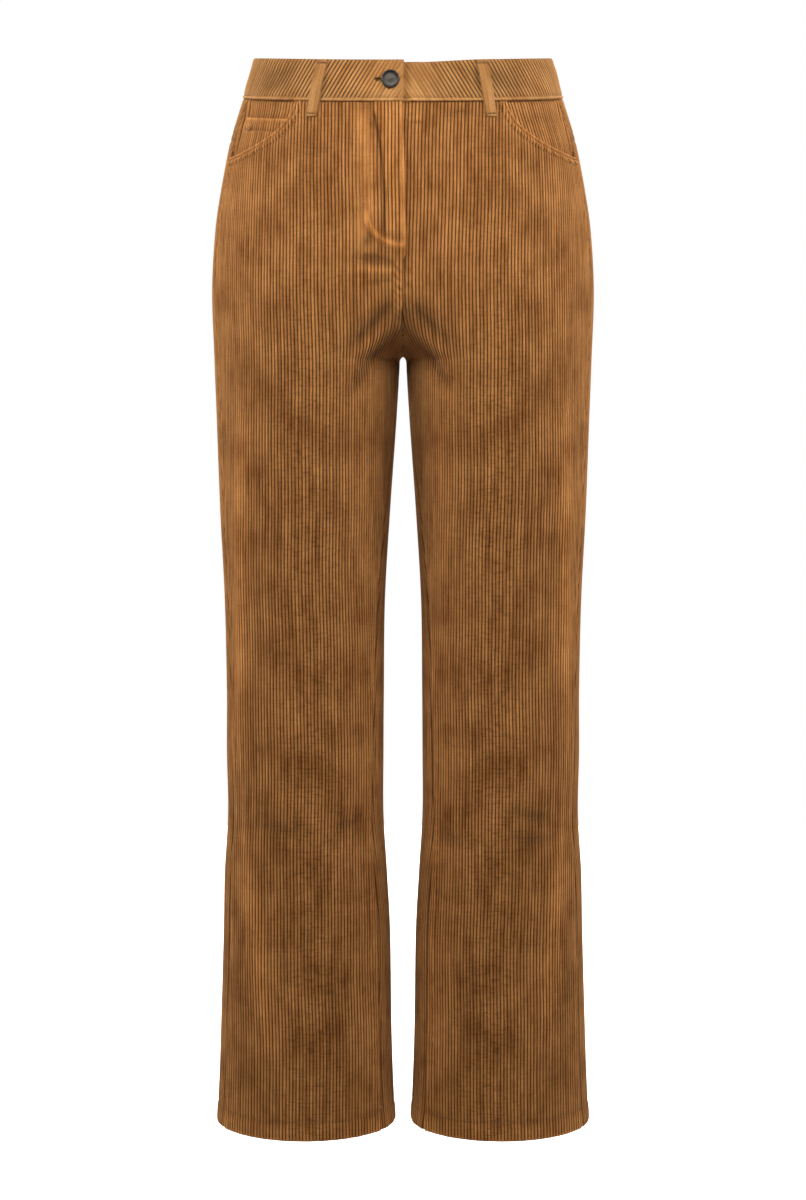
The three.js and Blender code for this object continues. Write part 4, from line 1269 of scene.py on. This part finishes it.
@dataclass
class BeltLoop(ClothPiece):
    """A folded strip that stands off the waistband and is tacked down at both ends."""

    top_arc: float = 75.0
    foot_arc: float = 86.0
    width: float = 11.0
    thickness: float = 1.8
    rib: float = 0.34
    top_level: float = 18.5
    foot_level: float = -34.0
    stops: tuple[float, ...] = (18.5, 14, 8, 0, -9, -18, -25, -34)
    rises: tuple[float, ...] = (0.9, 1.0, 2.4, 3.1, 2.8, 1.8, 0.5, 0.5)

    def rows(self) -> np.ndarray:
        """Returns the rows of the mesh as weights of (top, foot, 1)."""
        return rows_between((0, 0.5, 1.1, 1.9, 2.8), 26, (2.8, 1.9, 1.1, 0.5, 0.0))

    def centre(self, level: np.ndarray) -> np.ndarray:
        """Returns the arc of the loop's middle."""
        share = (self.top_level - level) / (self.top_level - self.foot_level)
        return mix(self.top_arc, self.foot_arc, share)

    def origin(self, level: np.ndarray) -> np.ndarray:
        """Returns the arc of the rib that the columns are counted from."""
        return self.centre(level) + WALE / 2

    def inner(self, level: np.ndarray) -> np.ndarray:
        """Returns the arc of one folded side."""
        return self.centre(level) - self.width / 2

    def outer(self, level: np.ndarray) -> np.ndarray:
        """Returns the arc of the other folded side."""
        return self.centre(level) + self.width / 2

    def lift(self, arc: np.ndarray, level: np.ndarray) -> np.ndarray:
        """Returns the height of the loop's outer face, which bows off the band."""
        return np.interp(-level, -np.array(self.stops), self.rises) + self.thickness

    def relief(self, arc: np.ndarray, level: np.ndarray) -> np.ndarray:
        """Returns the rounded sides, the stitched grooves and the pinched ends."""
        edge = np.minimum(arc - self.inner(level), self.outer(level) - arc)
        end = np.minimum(self.top_level - level, level - self.foot_level)
        height = seam_roll(edge, 0.8, 0.9) - 0.25 * groove(edge, 2.3, 0.6)
        return height + seam_roll(end, 0.7, 0.9) - 0.4 * groove(end, 3.0, 1.3)

    def rib_share(self, arc: np.ndarray, level: np.ndarray) -> np.ndarray:
        """Returns how full the ribs stand: the folded strip is pressed nearly smooth."""
        return np.full_like(arc, 0.4)

    def sew(self, stitching: "Stitching") -> None:
        """Adds the two rows down the loop and the bar-tacks at its ends."""
        level = np.linspace(self.top_level - 1.5, self.foot_level + 1.5, 20)
        for edge in (-1, 1):
            arc = self.centre(level) + edge * (self.width / 2 - 2.3)
            stitching.row(self, np.stack([arc, level], axis=1), 0.1)
        for end in (self.top_level - 3.0, self.foot_level + 3.0):
            across = self.centre(np.array(end)) + np.linspace(-0.42, 0.42, 15) * self.width
            tack_run(stitching, self, np.stack([across, np.full_like(across, end)], axis=1), 2.0)


# ---------- stitching ----------


@dataclass
class Stitching:
    """Rows of short stitches, joined into one mesh."""

    name: str
    finish: "Thread"
    length: float = 2.7
    gap: float = 0.8
    radius: float = 0.27
    sides: int = 6
    dip: float = 0.4
    rings: tuple[tuple[float, float], ...] = ((0.12, 0.8), (0.5, 1.0), (0.88, 0.8))
    starts: list[np.ndarray] = field(default_factory=list, init=False)
    ends: list[np.ndarray] = field(default_factory=list, init=False)
    normals: list[np.ndarray] = field(default_factory=list, init=False)

    def row(self, piece: ClothPiece, path: np.ndarray, rise: float = 0.3) -> None:
        """Adds a row of stitches along a path of (arc, level) points on a piece."""
        run = np.concatenate([[0], np.cumsum(np.linalg.norm(np.diff(path, axis=0), axis=1))])
        fine = np.linspace(0, run[-1], max(8, int(run[-1] / 0.9)))
        arc, level = (np.interp(fine, run, path[:, column]) for column in range(2))
        points, normals = piece.point(arc, level, rise)
        self.line(points, normals)

    def line(self, points: np.ndarray, normals: np.ndarray) -> None:
        """Adds a row of stitches along a line of points in space."""
        run = np.concatenate([[0], np.cumsum(np.linalg.norm(np.diff(points, axis=0), axis=1))])
        count = max(1, int(run[-1] / (self.length + self.gap)))
        step = run[-1] / count
        begin = (np.arange(count) + 0.5) * step - self.length / 2

        def at(values: np.ndarray, places: np.ndarray) -> np.ndarray:
            return np.stack([np.interp(places, run, values[:, axis]) for axis in range(3)], axis=1)

        self.starts.append(at(points, begin))
        self.ends.append(at(points, begin + self.length))
        self.normals.append(at(normals, begin + self.length / 2))

    def single(self, start: np.ndarray, end: np.ndarray, normal: np.ndarray) -> None:
        """Adds stitches from their ends and outward directions, one row each."""
        self.starts.append(start)
        self.ends.append(end)
        self.normals.append(normal)

    def build(self) -> bpy.types.Object:
        """Makes the joined mesh of all the stitches."""
        start, end, normal = (np.concatenate(rows) for rows in (self.starts, self.ends, self.normals))
        along = end - start
        along_unit = along / np.linalg.norm(along, axis=1, keepdims=True)
        sideways = np.cross(along_unit, normal)
        sideways /= np.linalg.norm(sideways, axis=1, keepdims=True)
        up = np.cross(sideways, along_unit)
        turn = np.arange(self.sides) * 2 * math.pi / self.sides
        rows = [start - up * self.dip]
        for share, width in self.rings:
            middle = start + along * share - up * self.dip * abs(2 * share - 1) ** 2
            for angle in turn:
                outwards = sideways * math.cos(angle) + up * math.sin(angle)
                rows.append(middle + self.radius * width * outwards)
        rows.append(end - up * self.dip)
        points = np.stack(rows, axis=1)
        template = self.template()
        size = points.shape[1]
        faces = []
        for stitch in range(len(points)):
            faces += [[corner + stitch * size for corner in face] for face in template]
        made = mesh_object(self.name, points.reshape(-1, 3), faces)
        made.data.materials.append(self.finish.material())
        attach(made, BODY)
        log.info("%s: %d stitches", self.name, len(points))
        return made

    def template(self) -> list[list[int]]:
        """Returns the faces of one stitch."""
        sides, count = self.sides, len(self.rings)
        tip = 1 + sides * count
        faces = []
        for side in range(sides):
            beside = (side + 1) % sides
            faces.append([0, 1 + beside, 1 + side])
            for ring in range(count - 1):
                low, high = 1 + ring * sides, 1 + (ring + 1) * sides
                faces.append([low + side, low + beside, high + beside, high + side])
            last = 1 + (count - 1) * sides
            faces.append([last + side, last + beside, tip])
        return faces


def sew(pieces: dict[str, ClothPiece]) -> None:
    """Sews the visible rows of stitches, one joined mesh for each group of seams."""
    legs = Stitching("leg_stitches", THREAD)
    hips = Stitching("hip_stitches", THREAD)
    waist = Stitching("waist_stitches", THREAD)
    for hand in ("right", "left"):
        front, back, yoke = (pieces[f"{kind}_{hand}"] for kind in ("front", "back", "yoke"))
        for panel in (front, back):
            level = np.array([HEM_STITCH])
            arc = np.linspace(float(panel.inner(level)[0]) + 1, float(panel.outer(level)[0]) - 1, 90)
            legs.row(panel, np.stack([arc, np.full_like(arc, HEM_STITCH)], axis=1))
        for distance in (2.4, 7.8):
            hips.row(front, offset_path(front.mouth_path(), distance))
        arc = np.linspace(1, float(yoke.outer(np.array([YOKE_SIDE]))[0]) - 1, 90)
        for rise in (1.8, 7.0):
            hips.row(yoke, np.stack([arc, yoke.foot(arc) + rise], axis=1))
        pocket = pieces[f"back_pocket_{hand}"]
        for distance in (2.0, 7.5):
            hips.row(pocket, pocket.edge_path(distance))
        hips.row(pocket, pocket.hem_path())
        waist.row(pieces[f"waistband_{hand}"], pieces[f"waistband_{hand}"].edge_path(3.2))
    front = pieces["front_right"]
    for distance in FLY_ROWS:
        hips.row(front, front.fly_path(distance))
    hips.row(pieces["coin_pocket"], pieces["coin_pocket"].hem_path())
    for piece in pieces.values():
        if isinstance(piece, BeltLoop):
            piece.sew(waist)
    arc = front.outer(np.full(12, -58.0)) - np.linspace(36, 29, 12)
    tack_run(hips, front, np.stack([arc, np.linspace(-42, -49, 12)], axis=1), 2.4)
    sew_buttonhole(waist, pieces["waistband_right"])
    for stitching in (legs, hips, waist):
        stitching.build()


def tack_run(stitching: Stitching, piece: ClothPiece, path: np.ndarray, width: float) -> None:
    """Adds a bar-tack: close stitches across a short path of (arc, level) points."""
    run = np.gradient(path, axis=0)
    run /= np.linalg.norm(run, axis=1, keepdims=True)
    across = np.stack([run[:, 1], -run[:, 0]], axis=1) * width / 2
    start, normal = piece.point(*(path - across).T, 0.35)
    end, _ = piece.point(*(path + across).T, 0.35)
    stitching.single(start, end, normal)


def sew_buttonhole(stitching: Stitching, band: ClothPiece) -> None:
    """Adds the close stitches round the buttonhole, square to its edge all the way round."""
    straight = np.linspace(BUTTONHOLE.length, BUTTONHOLE.eye, 22)
    turn = np.linspace(-2.5, 2.5, 26)
    edge, out = [], []
    for sign in (1, -1):
        edge.append(np.stack([straight, np.full_like(straight, sign * BUTTONHOLE.height / 2)], axis=1))
        out.append(np.tile([0.0, sign], (len(straight), 1)))
    edge.append(BUTTONHOLE.eye * np.stack([-np.cos(turn), np.sin(turn)], axis=1))
    out.append(np.stack([-np.cos(turn), np.sin(turn)], axis=1))
    places = np.concatenate(edge) + [BUTTON_ARC, BUTTON_LEVEL]
    outwards = np.concatenate(out)
    start, normal = band.point(*(places + outwards * 0.1).T, 0.2)
    end, _ = band.point(*(places + outwards * 1.7).T, 0.25)
    stitching.single(start, end, normal)


# ---------- button and buttonhole ----------


@dataclass(frozen=True)
class Buttonhole:
    """A slit that ends in a round eye at the button's shank, in millimetres."""

    length: float = 14.0
    height: float = 1.6
    eye: float = 2.5
    through: float = 12.0
    steps: int = 20

    def cut(self, band: bpy.types.Object, centre: np.ndarray) -> None:
        """Cuts the hole through a band, straight from front to back.

        Args:
            band: The band's mesh.
            centre: The middle of the eye.
        """
        rise = math.asin(self.height / 2 / self.eye)
        turn = np.linspace(rise - math.pi, math.pi - rise, self.steps)
        outline = [(-self.length, self.height / 2), (-self.length, -self.height / 2)]
        outline += [(self.eye * math.cos(angle), self.eye * math.sin(angle)) for angle in turn]
        count = len(outline)
        points = [(x, y, z) for y in (-self.through, self.through) for x, z in outline]
        faces = [list(range(count)), list(range(2 * count - 1, count - 1, -1))]
        for corner in range(count):
            beside = (corner + 1) % count
            faces.append([beside, corner, corner + count, beside + count])
        cutter = mesh_object("buttonhole_cutter", np.array(points) + centre, faces)
        bpy.ops.object.select_all(action="DESELECT")
        bpy.context.view_layer.objects.active = band
        band.select_set(True)
        cut = band.modifiers.new("buttonhole", "BOOLEAN")
        cut.operation = "DIFFERENCE"
        cut.object = cutter
        cut.solver = "EXACT"
        bpy.ops.object.modifier_apply(modifier=cut.name)
        band.select_set(False)
        bpy.data.objects.remove(cutter, do_unlink=True)


BUTTONHOLE = Buttonhole()
BUTTON_ARC = 11.6
BUTTON_LEVEL = 1.0


@dataclass
class ShankButton:
    """A dished metal disc with a raised rim, on a shank that passes through the buttonhole."""

    seat: np.ndarray
    normal: np.ndarray
    finish: "Gunmetal"
    radius: float = 8.4
    thickness: float = 2.0
    clear: float = 0.6
    shank: float = 2.2
    depth: float = 3.0
    sides: int = 72
    # Steps of the face from its edge inwards: how much it is drawn in and then moved outwards.
    face_steps: tuple[tuple[float, float], ...] = (
        (0.35, 0.3),
        (0.55, 0.12),
        (0.5, -0.12),
        (0.35, -0.55),
        (0.5, -0.12),
        (1.3, -0.1),
        (1.6, 0.02),
        (1.5, 0.1),
        (1.0, 0.06),
    )

    def build(self) -> bpy.types.Object:
        """Models the button lying flat and seats it on the band."""
        bpy.ops.object.select_all(action="DESELECT")
        middle = (self.clear + self.thickness / 2) * MM
        bpy.ops.mesh.primitive_cylinder_add(
            vertices=self.sides,
            radius=self.radius * MM,
            depth=self.thickness * MM,
            location=(0, 0, middle),
        )
        made = bpy.context.object
        made.name = made.data.name = "button_disc"
        bpy.ops.object.transform_apply(location=True, rotation=True, scale=True)
        bpy.ops.object.mode_set(mode="EDIT")
        self.select_cap(made, 1)
        for inset, rise in self.face_steps:
            bpy.ops.mesh.inset(thickness=inset * MM, depth=0)
            bpy.ops.transform.translate(value=(0, 0, rise * MM))
        self.select_cap(made, -1)
        bpy.ops.mesh.inset(thickness=(self.radius - self.shank) * MM, depth=0)
        bpy.ops.mesh.extrude_region_move(
            TRANSFORM_OT_translate={"value": (0, 0, -(self.clear + self.depth) * MM)}
        )
        bpy.ops.object.mode_set(mode="OBJECT")
        bevel = made.modifiers.new("soft edges", "BEVEL")
        bevel.width = 0.22 * MM
        bevel.segments = 3
        bevel.angle_limit = math.radians(32)
        bpy.ops.object.modifier_apply(modifier=bevel.name)
        bpy.ops.object.shade_smooth_by_angle(angle=math.radians(50))
        made.rotation_euler = Vector(self.normal).to_track_quat("Z", "Y").to_euler()
        made.location = Vector(self.seat * MM)
        bpy.ops.object.transform_apply(location=True, rotation=True, scale=True)
        made.data.materials.append(self.finish.material())
        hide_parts("button")
        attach(made, BODY)
        made.select_set(False)
        log.info("%s: %d faces", made.name, len(made.data.polygons))
        return made

    def select_cap(self, made: bpy.types.Object, way: int) -> None:
        """Selects the outermost flat face that points up (1) or down (-1)."""
        bpy.ops.mesh.select_all(action="DESELECT")
        bpy.ops.mesh.select_mode(type="FACE")
        bpy.ops.object.mode_set(mode="OBJECT")
        caps = [face for face in made.data.polygons if face.normal.z * way > 0.99]
        max(caps, key=lambda face: face.area).select = True
        bpy.ops.object.mode_set(mode="EDIT")


# ---------- finishes ----------


def linear(code: str) -> tuple[float, float, float, float]:
    """Turns an sRGB hex colour into linear red, green, blue and alpha."""
    parts = [int(code[place : place + 2], 16) / 255 for place in (1, 3, 5)]
    toned = [part / 12.92 if part <= 0.04045 else ((part + 0.055) / 1.055) ** 2.4 for part in parts]
    return (*toned, 1.0)


def add_node(
    tree: bpy.types.NodeTree,
    kind: str,
    settings: dict[str, object] | None = None,
    inputs: dict[int | str, object] | None = None,
) -> bpy.types.Node:
    """Adds a node to a tree.

    Args:
        tree: The material's node tree.
        kind: The node's type.
        settings: Attributes to set on the node.
        inputs: Socket names or numbers, with a value or with an output to link.

    Returns:
        The new node.
    """
    node = tree.nodes.new(kind)
    for name, value in (settings or {}).items():
        setattr(node, name, value)
    for name, value in (inputs or {}).items():
        if isinstance(value, bpy.types.NodeSocket):
            tree.links.new(value, node.inputs[name])
        else:
            node.inputs[name].default_value = value
    return node


@dataclass(frozen=True)
class Grain:
    """One layer of noise in a surface.

    scale is in cells a metre, and along stretches the marks down the ribs if it is below 1.
    """

    scale: float
    detail: float
    roughness: float = 0.5
    along: float = 1.0


class Nodes:
    """A node tree, with a short call for each kind of node that the finishes need."""

    def __init__(self, tree: bpy.types.NodeTree) -> None:
        """Empties the tree."""
        self.tree = tree
        tree.nodes.clear()

    def attribute(self, name: str) -> bpy.types.NodeSocket:
        """Returns an attribute of the mesh."""
        return add_node(self.tree, "ShaderNodeAttribute", {"attribute_name": name}).outputs["Fac"]

    def object_place(self) -> bpy.types.NodeSocket:
        """Returns where a point lies in its object's own space."""
        return add_node(self.tree, "ShaderNodeTexCoord").outputs["Object"]

    def math(
        self, operation: str, first: Value, second: Value, clamp: bool = False
    ) -> bpy.types.NodeSocket:
        """Returns the result of an operation on two values."""
        settings = {"operation": operation, "use_clamp": clamp}
        return add_node(self.tree, "ShaderNodeMath", settings, {0: first, 1: second}).outputs[0]

    def noise(self, place: bpy.types.NodeSocket, grain: Grain) -> bpy.types.NodeSocket:
        """Returns noise with the given grain."""
        if grain.along != 1.0:
            stretch = {"Vector": place, "Scale": (1.0, grain.along, 1.0)}
            mapping = {"vector_type": "POINT"}
            place = add_node(self.tree, "ShaderNodeMapping", mapping, stretch).outputs[0]
        inputs = {
            "Vector": place,
            "Scale": grain.scale,
            "Detail": grain.detail,
            "Roughness": grain.roughness,
        }
        return add_node(self.tree, "ShaderNodeTexNoise", inputs=inputs).outputs["Fac"]

    def ramp(
        self,
        value: bpy.types.NodeSocket,
        source: tuple[float, float] = (0.0, 1.0),
        target: tuple[float, float] = (0.0, 1.0),
        soft: bool = False,
    ) -> bpy.types.NodeSocket:
        """Returns a value carried over from one range to another, clamped at its ends."""
        settings = {"interpolation_type": "SMOOTHSTEP" if soft else "LINEAR"}
        inputs = {0: value, 1: source[0], 2: source[1], 3: target[0], 4: target[1]}
        return add_node(self.tree, "ShaderNodeMapRange", settings, inputs).outputs[0]

    def blend(
        self, share: Value, first: Value, second: Value, kind: str = "MIX"
    ) -> bpy.types.NodeSocket:
        """Returns a blend of two colours."""
        settings = {"data_type": "RGBA", "blend_type": kind}
        inputs = {0: share, 6: first, 7: second}
        return add_node(self.tree, "ShaderNodeMix", settings, inputs).outputs[2]

    def bump(
        self, height: bpy.types.NodeSocket, strength: float, distance: float
    ) -> bpy.types.NodeSocket:
        """Returns a normal that follows fine heights."""
        inputs = {"Strength": strength, "Distance": distance, "Height": height}
        return add_node(self.tree, "ShaderNodeBump", inputs=inputs).outputs[0]

    def surface(self, inputs: dict[str, Value]) -> None:
        """Adds the shader and the output."""
        shader = add_node(self.tree, "ShaderNodeBsdfPrincipled", inputs=inputs)
        add_node(self.tree, "ShaderNodeOutputMaterial", inputs={0: shader.outputs[0]})


def new_material(name: str) -> tuple[bpy.types.Material, Nodes]:
    """Returns a new material and its empty node tree."""
    material = bpy.data.materials.new(name)
    material.use_nodes = True
    return material, Nodes(material.node_tree)


@dataclass(frozen=True)
class Finish:
    """A material, and the slot of the part that it fills."""

    name: str
    slot: str

    def material(self) -> bpy.types.Material:
        """Returns the material, which is made once."""
        found = bpy.data.materials.get(self.name)
        if found is None:
            found, nodes = new_material(self.name)
            self.shade(nodes)
        return found

    def shade(self, nodes: Nodes) -> None:
        """Adds the material's nodes."""
        raise NotImplementedError


@dataclass(frozen=True)
class Corduroy(Finish):
    """Dyed cotton corduroy: cut pile in ribs, matt, with a soft bloom where the pile is seen edge-on.

    The grooves are painted darker, partly for the darker ground weave and mostly as painted shade between
    the ribs. The colour is also darkened as painted shade in the troughs of folds, rolled seams and
    stitched grooves, and lightened on raised folds, partly as rubbed pile and partly as painted
    highlight. The pile has small crushed and brushed patches.
    """

    groove_weave_and_shade_colour: str
    rib_colour: str
    worn_colour: str
    crushed: float = 0.2
    patches: Grain = Grain(22.0, 5.0, 0.62)
    streaks: Grain = Grain(210.0, 3.0, 0.6, along=0.07)
    dents: Grain = Grain(105.0, 3.0, 0.7, along=4.2)
    pile: Grain = Grain(1500.0, 2.0, 0.7)

    def shade(self, nodes: Nodes) -> None:
        """Adds the material's nodes."""
        flat = add_node(nodes.tree, "ShaderNodeUVMap", {"uv_map": "UVMap"}).outputs["UV"]
        split = add_node(nodes.tree, "ShaderNodeSeparateXYZ", inputs={0: flat})
        ribs = nodes.math("MULTIPLY", split.outputs[0], 1 / (WALE * MM))
        # The grooves between the ribs take the groove colour: partly the darker ground weave, mostly
        # painted shade.
        full = nodes.ramp(nodes.math("PINGPONG", ribs, 0.5), (-0.04, 0.34), soft=True)
        mottle = nodes.math("ADD", nodes.noise(flat, self.patches), nodes.noise(flat, self.streaks))
        patch = nodes.ramp(mottle, (0.72, 1.28))
        shade = nodes.blend(patch, linear(self.rib_colour), linear(self.worn_colour))
        dent = nodes.ramp(nodes.noise(flat, self.dents), (0.47, 0.66), (0.0, self.crushed), soft=True)
        dented = nodes.math("MULTIPLY", dent, nodes.attribute("crush"))
        # Painted shade in troughs, seams and grooves and painted highlight on raised folds, partly rubbed
        # pile, read from the relief attribute.
        lit = nodes.ramp(nodes.attribute("wear_and_painted_shade"), target=(0.62, 1.38))
        mark = nodes.math("SUBTRACT", lit, dented)
        pile = nodes.noise(flat, self.pile)
        speck = nodes.ramp(pile, (0.3, 0.7), (0.86, 1.14))
        toned = nodes.blend(1.0, shade, nodes.math("MULTIPLY", mark, speck), "MULTIPLY")
        filled = nodes.math("ADD", full, nodes.attribute("flattened"), clamp=True)
        nodes.surface(
            {
                "Base Color": nodes.blend(filled, linear(self.groove_weave_and_shade_colour), toned),
                "Roughness": 0.95,
                "Specular IOR Level": 0.12,
                "Sheen Weight": 0.5,
                "Sheen Roughness": 0.5,
                "Sheen Tint": linear("#e0b98c"),
                "Normal": nodes.bump(pile, 0.5, 0.0004),
            }
        )


@dataclass(frozen=True)
class Thread(Finish):
    """Spun polyester sewing thread, a shade lighter than the cloth, with a faint lustre."""

    colour: str
    dark: str
    plies: Grain = Grain(900.0, 2.0)

    def shade(self, nodes: Nodes) -> None:
        """Adds the material's nodes."""
        plies = nodes.noise(nodes.object_place(), self.plies)
        nodes.surface(
            {
                "Base Color": nodes.blend(plies, linear(self.dark), linear(self.colour)),
                "Roughness": 0.7,
                "Normal": nodes.bump(plies, 0.4, 0.0002),
            }
        )


@dataclass(frozen=True)
class Gunmetal(Finish):
    """Die-cast zinc plated dark and rubbed back, a little brighter in random patches."""

    low: str
    high: str
    wear: Grain = Grain(420.0, 5.0, 0.6)

    def shade(self, nodes: Nodes) -> None:
        """Adds the material's nodes."""
        wear = nodes.noise(nodes.object_place(), self.wear)
        nodes.surface(
            {
                "Base Color": nodes.blend(wear, linear(self.low), linear(self.high)),
                "Metallic": 0.9,
                "Roughness": nodes.ramp(wear, target=(0.3, 0.52)),
                "Normal": nodes.bump(wear, 0.25, 0.0002),
            }
        )


# The first colour of each cloth is the groove colour, partly the darker ground weave and mostly painted
# shade between the ribs.
CLOTH = Corduroy("dyed_corduroy", "corduroy", "#240e02", "#7a4719", "#bd8147", crushed=0.4)
BAND_CLOTH = Corduroy("dyed_corduroy_band", "band_corduroy", "#371c08", "#8d5b2b", "#ba8852", crushed=0.2)
THREAD = Thread("sewing_thread", "band_corduroy", "#9c6c3a", "#7c5027")
METAL = Gunmetal("plated_zinc", "button_metal", "#262421", "#4a4641")


# ---------- the studio ----------


@dataclass
class Studio:
    """A pale floor and backdrop, soft lights and the camera."""

    floor_level: float = -1.16
    camera_distance: float = 2.7
    camera_level: float = -0.2605
    camera_tilt: float = 5.16
    lens: float = 83.04
    ambient: float = 0.08
    floor_glow: tuple[float, float] = (0.05, 0.8)  # in the light it gives and as it is seen

    def build(self) -> None:
        """Sets up the floor, the world, the lights and the camera."""
        self.floor()
        self.world()
        self.light("key", (-0.1, -2.1, 1.15), (0.0, 0.0, 0.12), 0.9, 5.0, 58)
        self.light("left", (-1.9, -0.9, 0.8), (0.0, 0.0, -0.06), 1.0, 7.2, 70)
        self.light("right", (1.9, -0.9, 0.8), (0.0, 0.0, -0.06), 1.0, 7.9, 70)
        self.light("back", (0.3, 2.4, 1.3), (0.0, 0.0, -0.4), 1.4, 22)
        self.light("floor_wash", (0.0, 1.6, 0.9), (0.0, 1.5, self.floor_level), 2.4, 50, 120)
        self.camera()

    def floor(self) -> None:
        """Makes the pale floor."""
        bpy.ops.mesh.primitive_plane_add(size=5, location=(0, 0, self.floor_level))
        made = bpy.context.object
        made.name = "studio_floor"
        material, nodes = new_material("studio_floor")
        ray = add_node(nodes.tree, "ShaderNodeLightPath").outputs["Is Camera Ray"]
        nodes.surface(
            {
                "Base Color": linear("#e4e3e1"),
                "Roughness": 0.9,
                "Emission Color": linear("#ffffff"),
                "Emission Strength": nodes.ramp(ray, target=self.floor_glow),
            }
        )
        made.data.materials.append(material)

    def world(self) -> None:
        """Makes the soft white surroundings."""
        world = bpy.data.worlds.new("studio_world")
        bpy.context.scene.world = world
        world.use_nodes = True
        nodes = Nodes(world.node_tree)
        ray = add_node(nodes.tree, "ShaderNodeLightPath").outputs["Is Camera Ray"]
        seen = nodes.ramp(ray, target=(self.ambient, 1.0))
        sky = add_node(nodes.tree, "ShaderNodeBackground", inputs={0: linear("#ffffff"), 1: seen})
        add_node(nodes.tree, "ShaderNodeOutputWorld", inputs={0: sky.outputs[0]})

    def light(
        self,
        name: str,
        place: tuple[float, float, float],
        target: tuple[float, float, float],
        size: float,
        power: float,
        spread: float = 180,
    ) -> None:
        """Adds a square soft light that faces a target, with a beam of so many degrees."""
        data = bpy.data.lights.new(name, "AREA")
        data.size = size
        data.energy = power
        data.spread = math.radians(spread)
        made = bpy.data.objects.new(name, data)
        made.location = place
        made.rotation_euler = (Vector(target) - Vector(place)).to_track_quat("-Z", "Y").to_euler()
        bpy.context.scene.collection.objects.link(made)

    def camera(self) -> None:
        """Adds the camera, a little above the middle and tilted down."""
        data = bpy.data.cameras.new("camera")
        data.sensor_width = 36
        data.lens = self.lens
        data.clip_end = 100
        made = bpy.data.objects.new("camera", data)
        made.location = (0, -self.camera_distance, self.camera_level)
        made.rotation_euler = (math.radians(90 - self.camera_tilt), 0, 0)
        bpy.context.scene.collection.objects.link(made)
        bpy.context.scene.camera = made
        bpy.context.scene.view_settings.view_transform = "Standard"


# ---------- assembly ----------

POCKET_START = {"right": 104.0, "left": 99.0}  # arcs of the pocket mouths' upper ends
LOOPS = (  # name, side, panel, and the arcs of its upper and lower end
    ("belt_loop_front_right", -1, F, 75, 86),
    ("belt_loop_front_left", 1, F, 73, 83),
    ("belt_loop_back_right", -1, B, 92, 95),
    ("belt_loop_back_left", 1, B, 92, 95),
    ("belt_loop_centre_back", 1, B, 0, 0),
)


def make_pieces(form: TrouserForm) -> dict[str, ClothPiece]:
    """Returns every piece of the cut by its node's name, none of them built yet."""
    pieces: dict[str, ClothPiece] = {}
    for side, hand in ((-1, "right"), (1, "left")):
        start = POCKET_START[hand]
        band = f"waistband_{hand}"
        pieces[band] = Waistband(form, side, band, BAND_CLOTH)
        front, facing, yoke, back, pocket = (
            f"{part}_{hand}" for part in ("front", "hip_facing", "yoke", "back", "back_pocket")
        )
        pieces[front] = FrontPanel(form, side, front, CLOTH, held_by=(band,), pocket_start=start)
        pieces[yoke] = Yoke(form, side, yoke, CLOTH, held_by=(band,))
        pieces[back] = BackPanel(form, side, back, CLOTH, held_by=(yoke,))
        pieces[facing] = HipFacing(form, side, facing, CLOTH, held_by=(band,), pocket_start=start)
        pieces[pocket] = BackPocket(form, side, pocket, CLOTH, held_by=(back,))
    pieces["coin_pocket"] = CoinPocket(form, -1, "coin_pocket", CLOTH, held_by=("hip_facing_right",))
    for name, side, panel, top_arc, foot_arc in LOOPS:
        band = "waistband_right" if side < 0 else "waistband_left"
        pieces[name] = BeltLoop(
            form, side, name, BAND_CLOTH, held_by=(band,), panel=panel, top_arc=top_arc, foot_arc=foot_arc
        )
    return pieces


def main() -> None:
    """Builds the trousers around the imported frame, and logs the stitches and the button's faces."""
    logging.basicConfig(level=logging.INFO, format="%(name)s: %(message)s")
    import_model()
    bpy.ops.object.select_all(action="DESELECT")
    pieces = make_pieces(TrouserForm())
    for piece in pieces.values():
        piece.build()
    band = pieces["waistband_right"]
    seat, normal = band.point(np.array(BUTTON_ARC), np.array(BUTTON_LEVEL))
    BUTTONHOLE.cut(band.made, seat)
    ShankButton(seat, normal, METAL).build()
    sew(pieces)
    Studio().build()


if __name__ == "__main__":
    main()
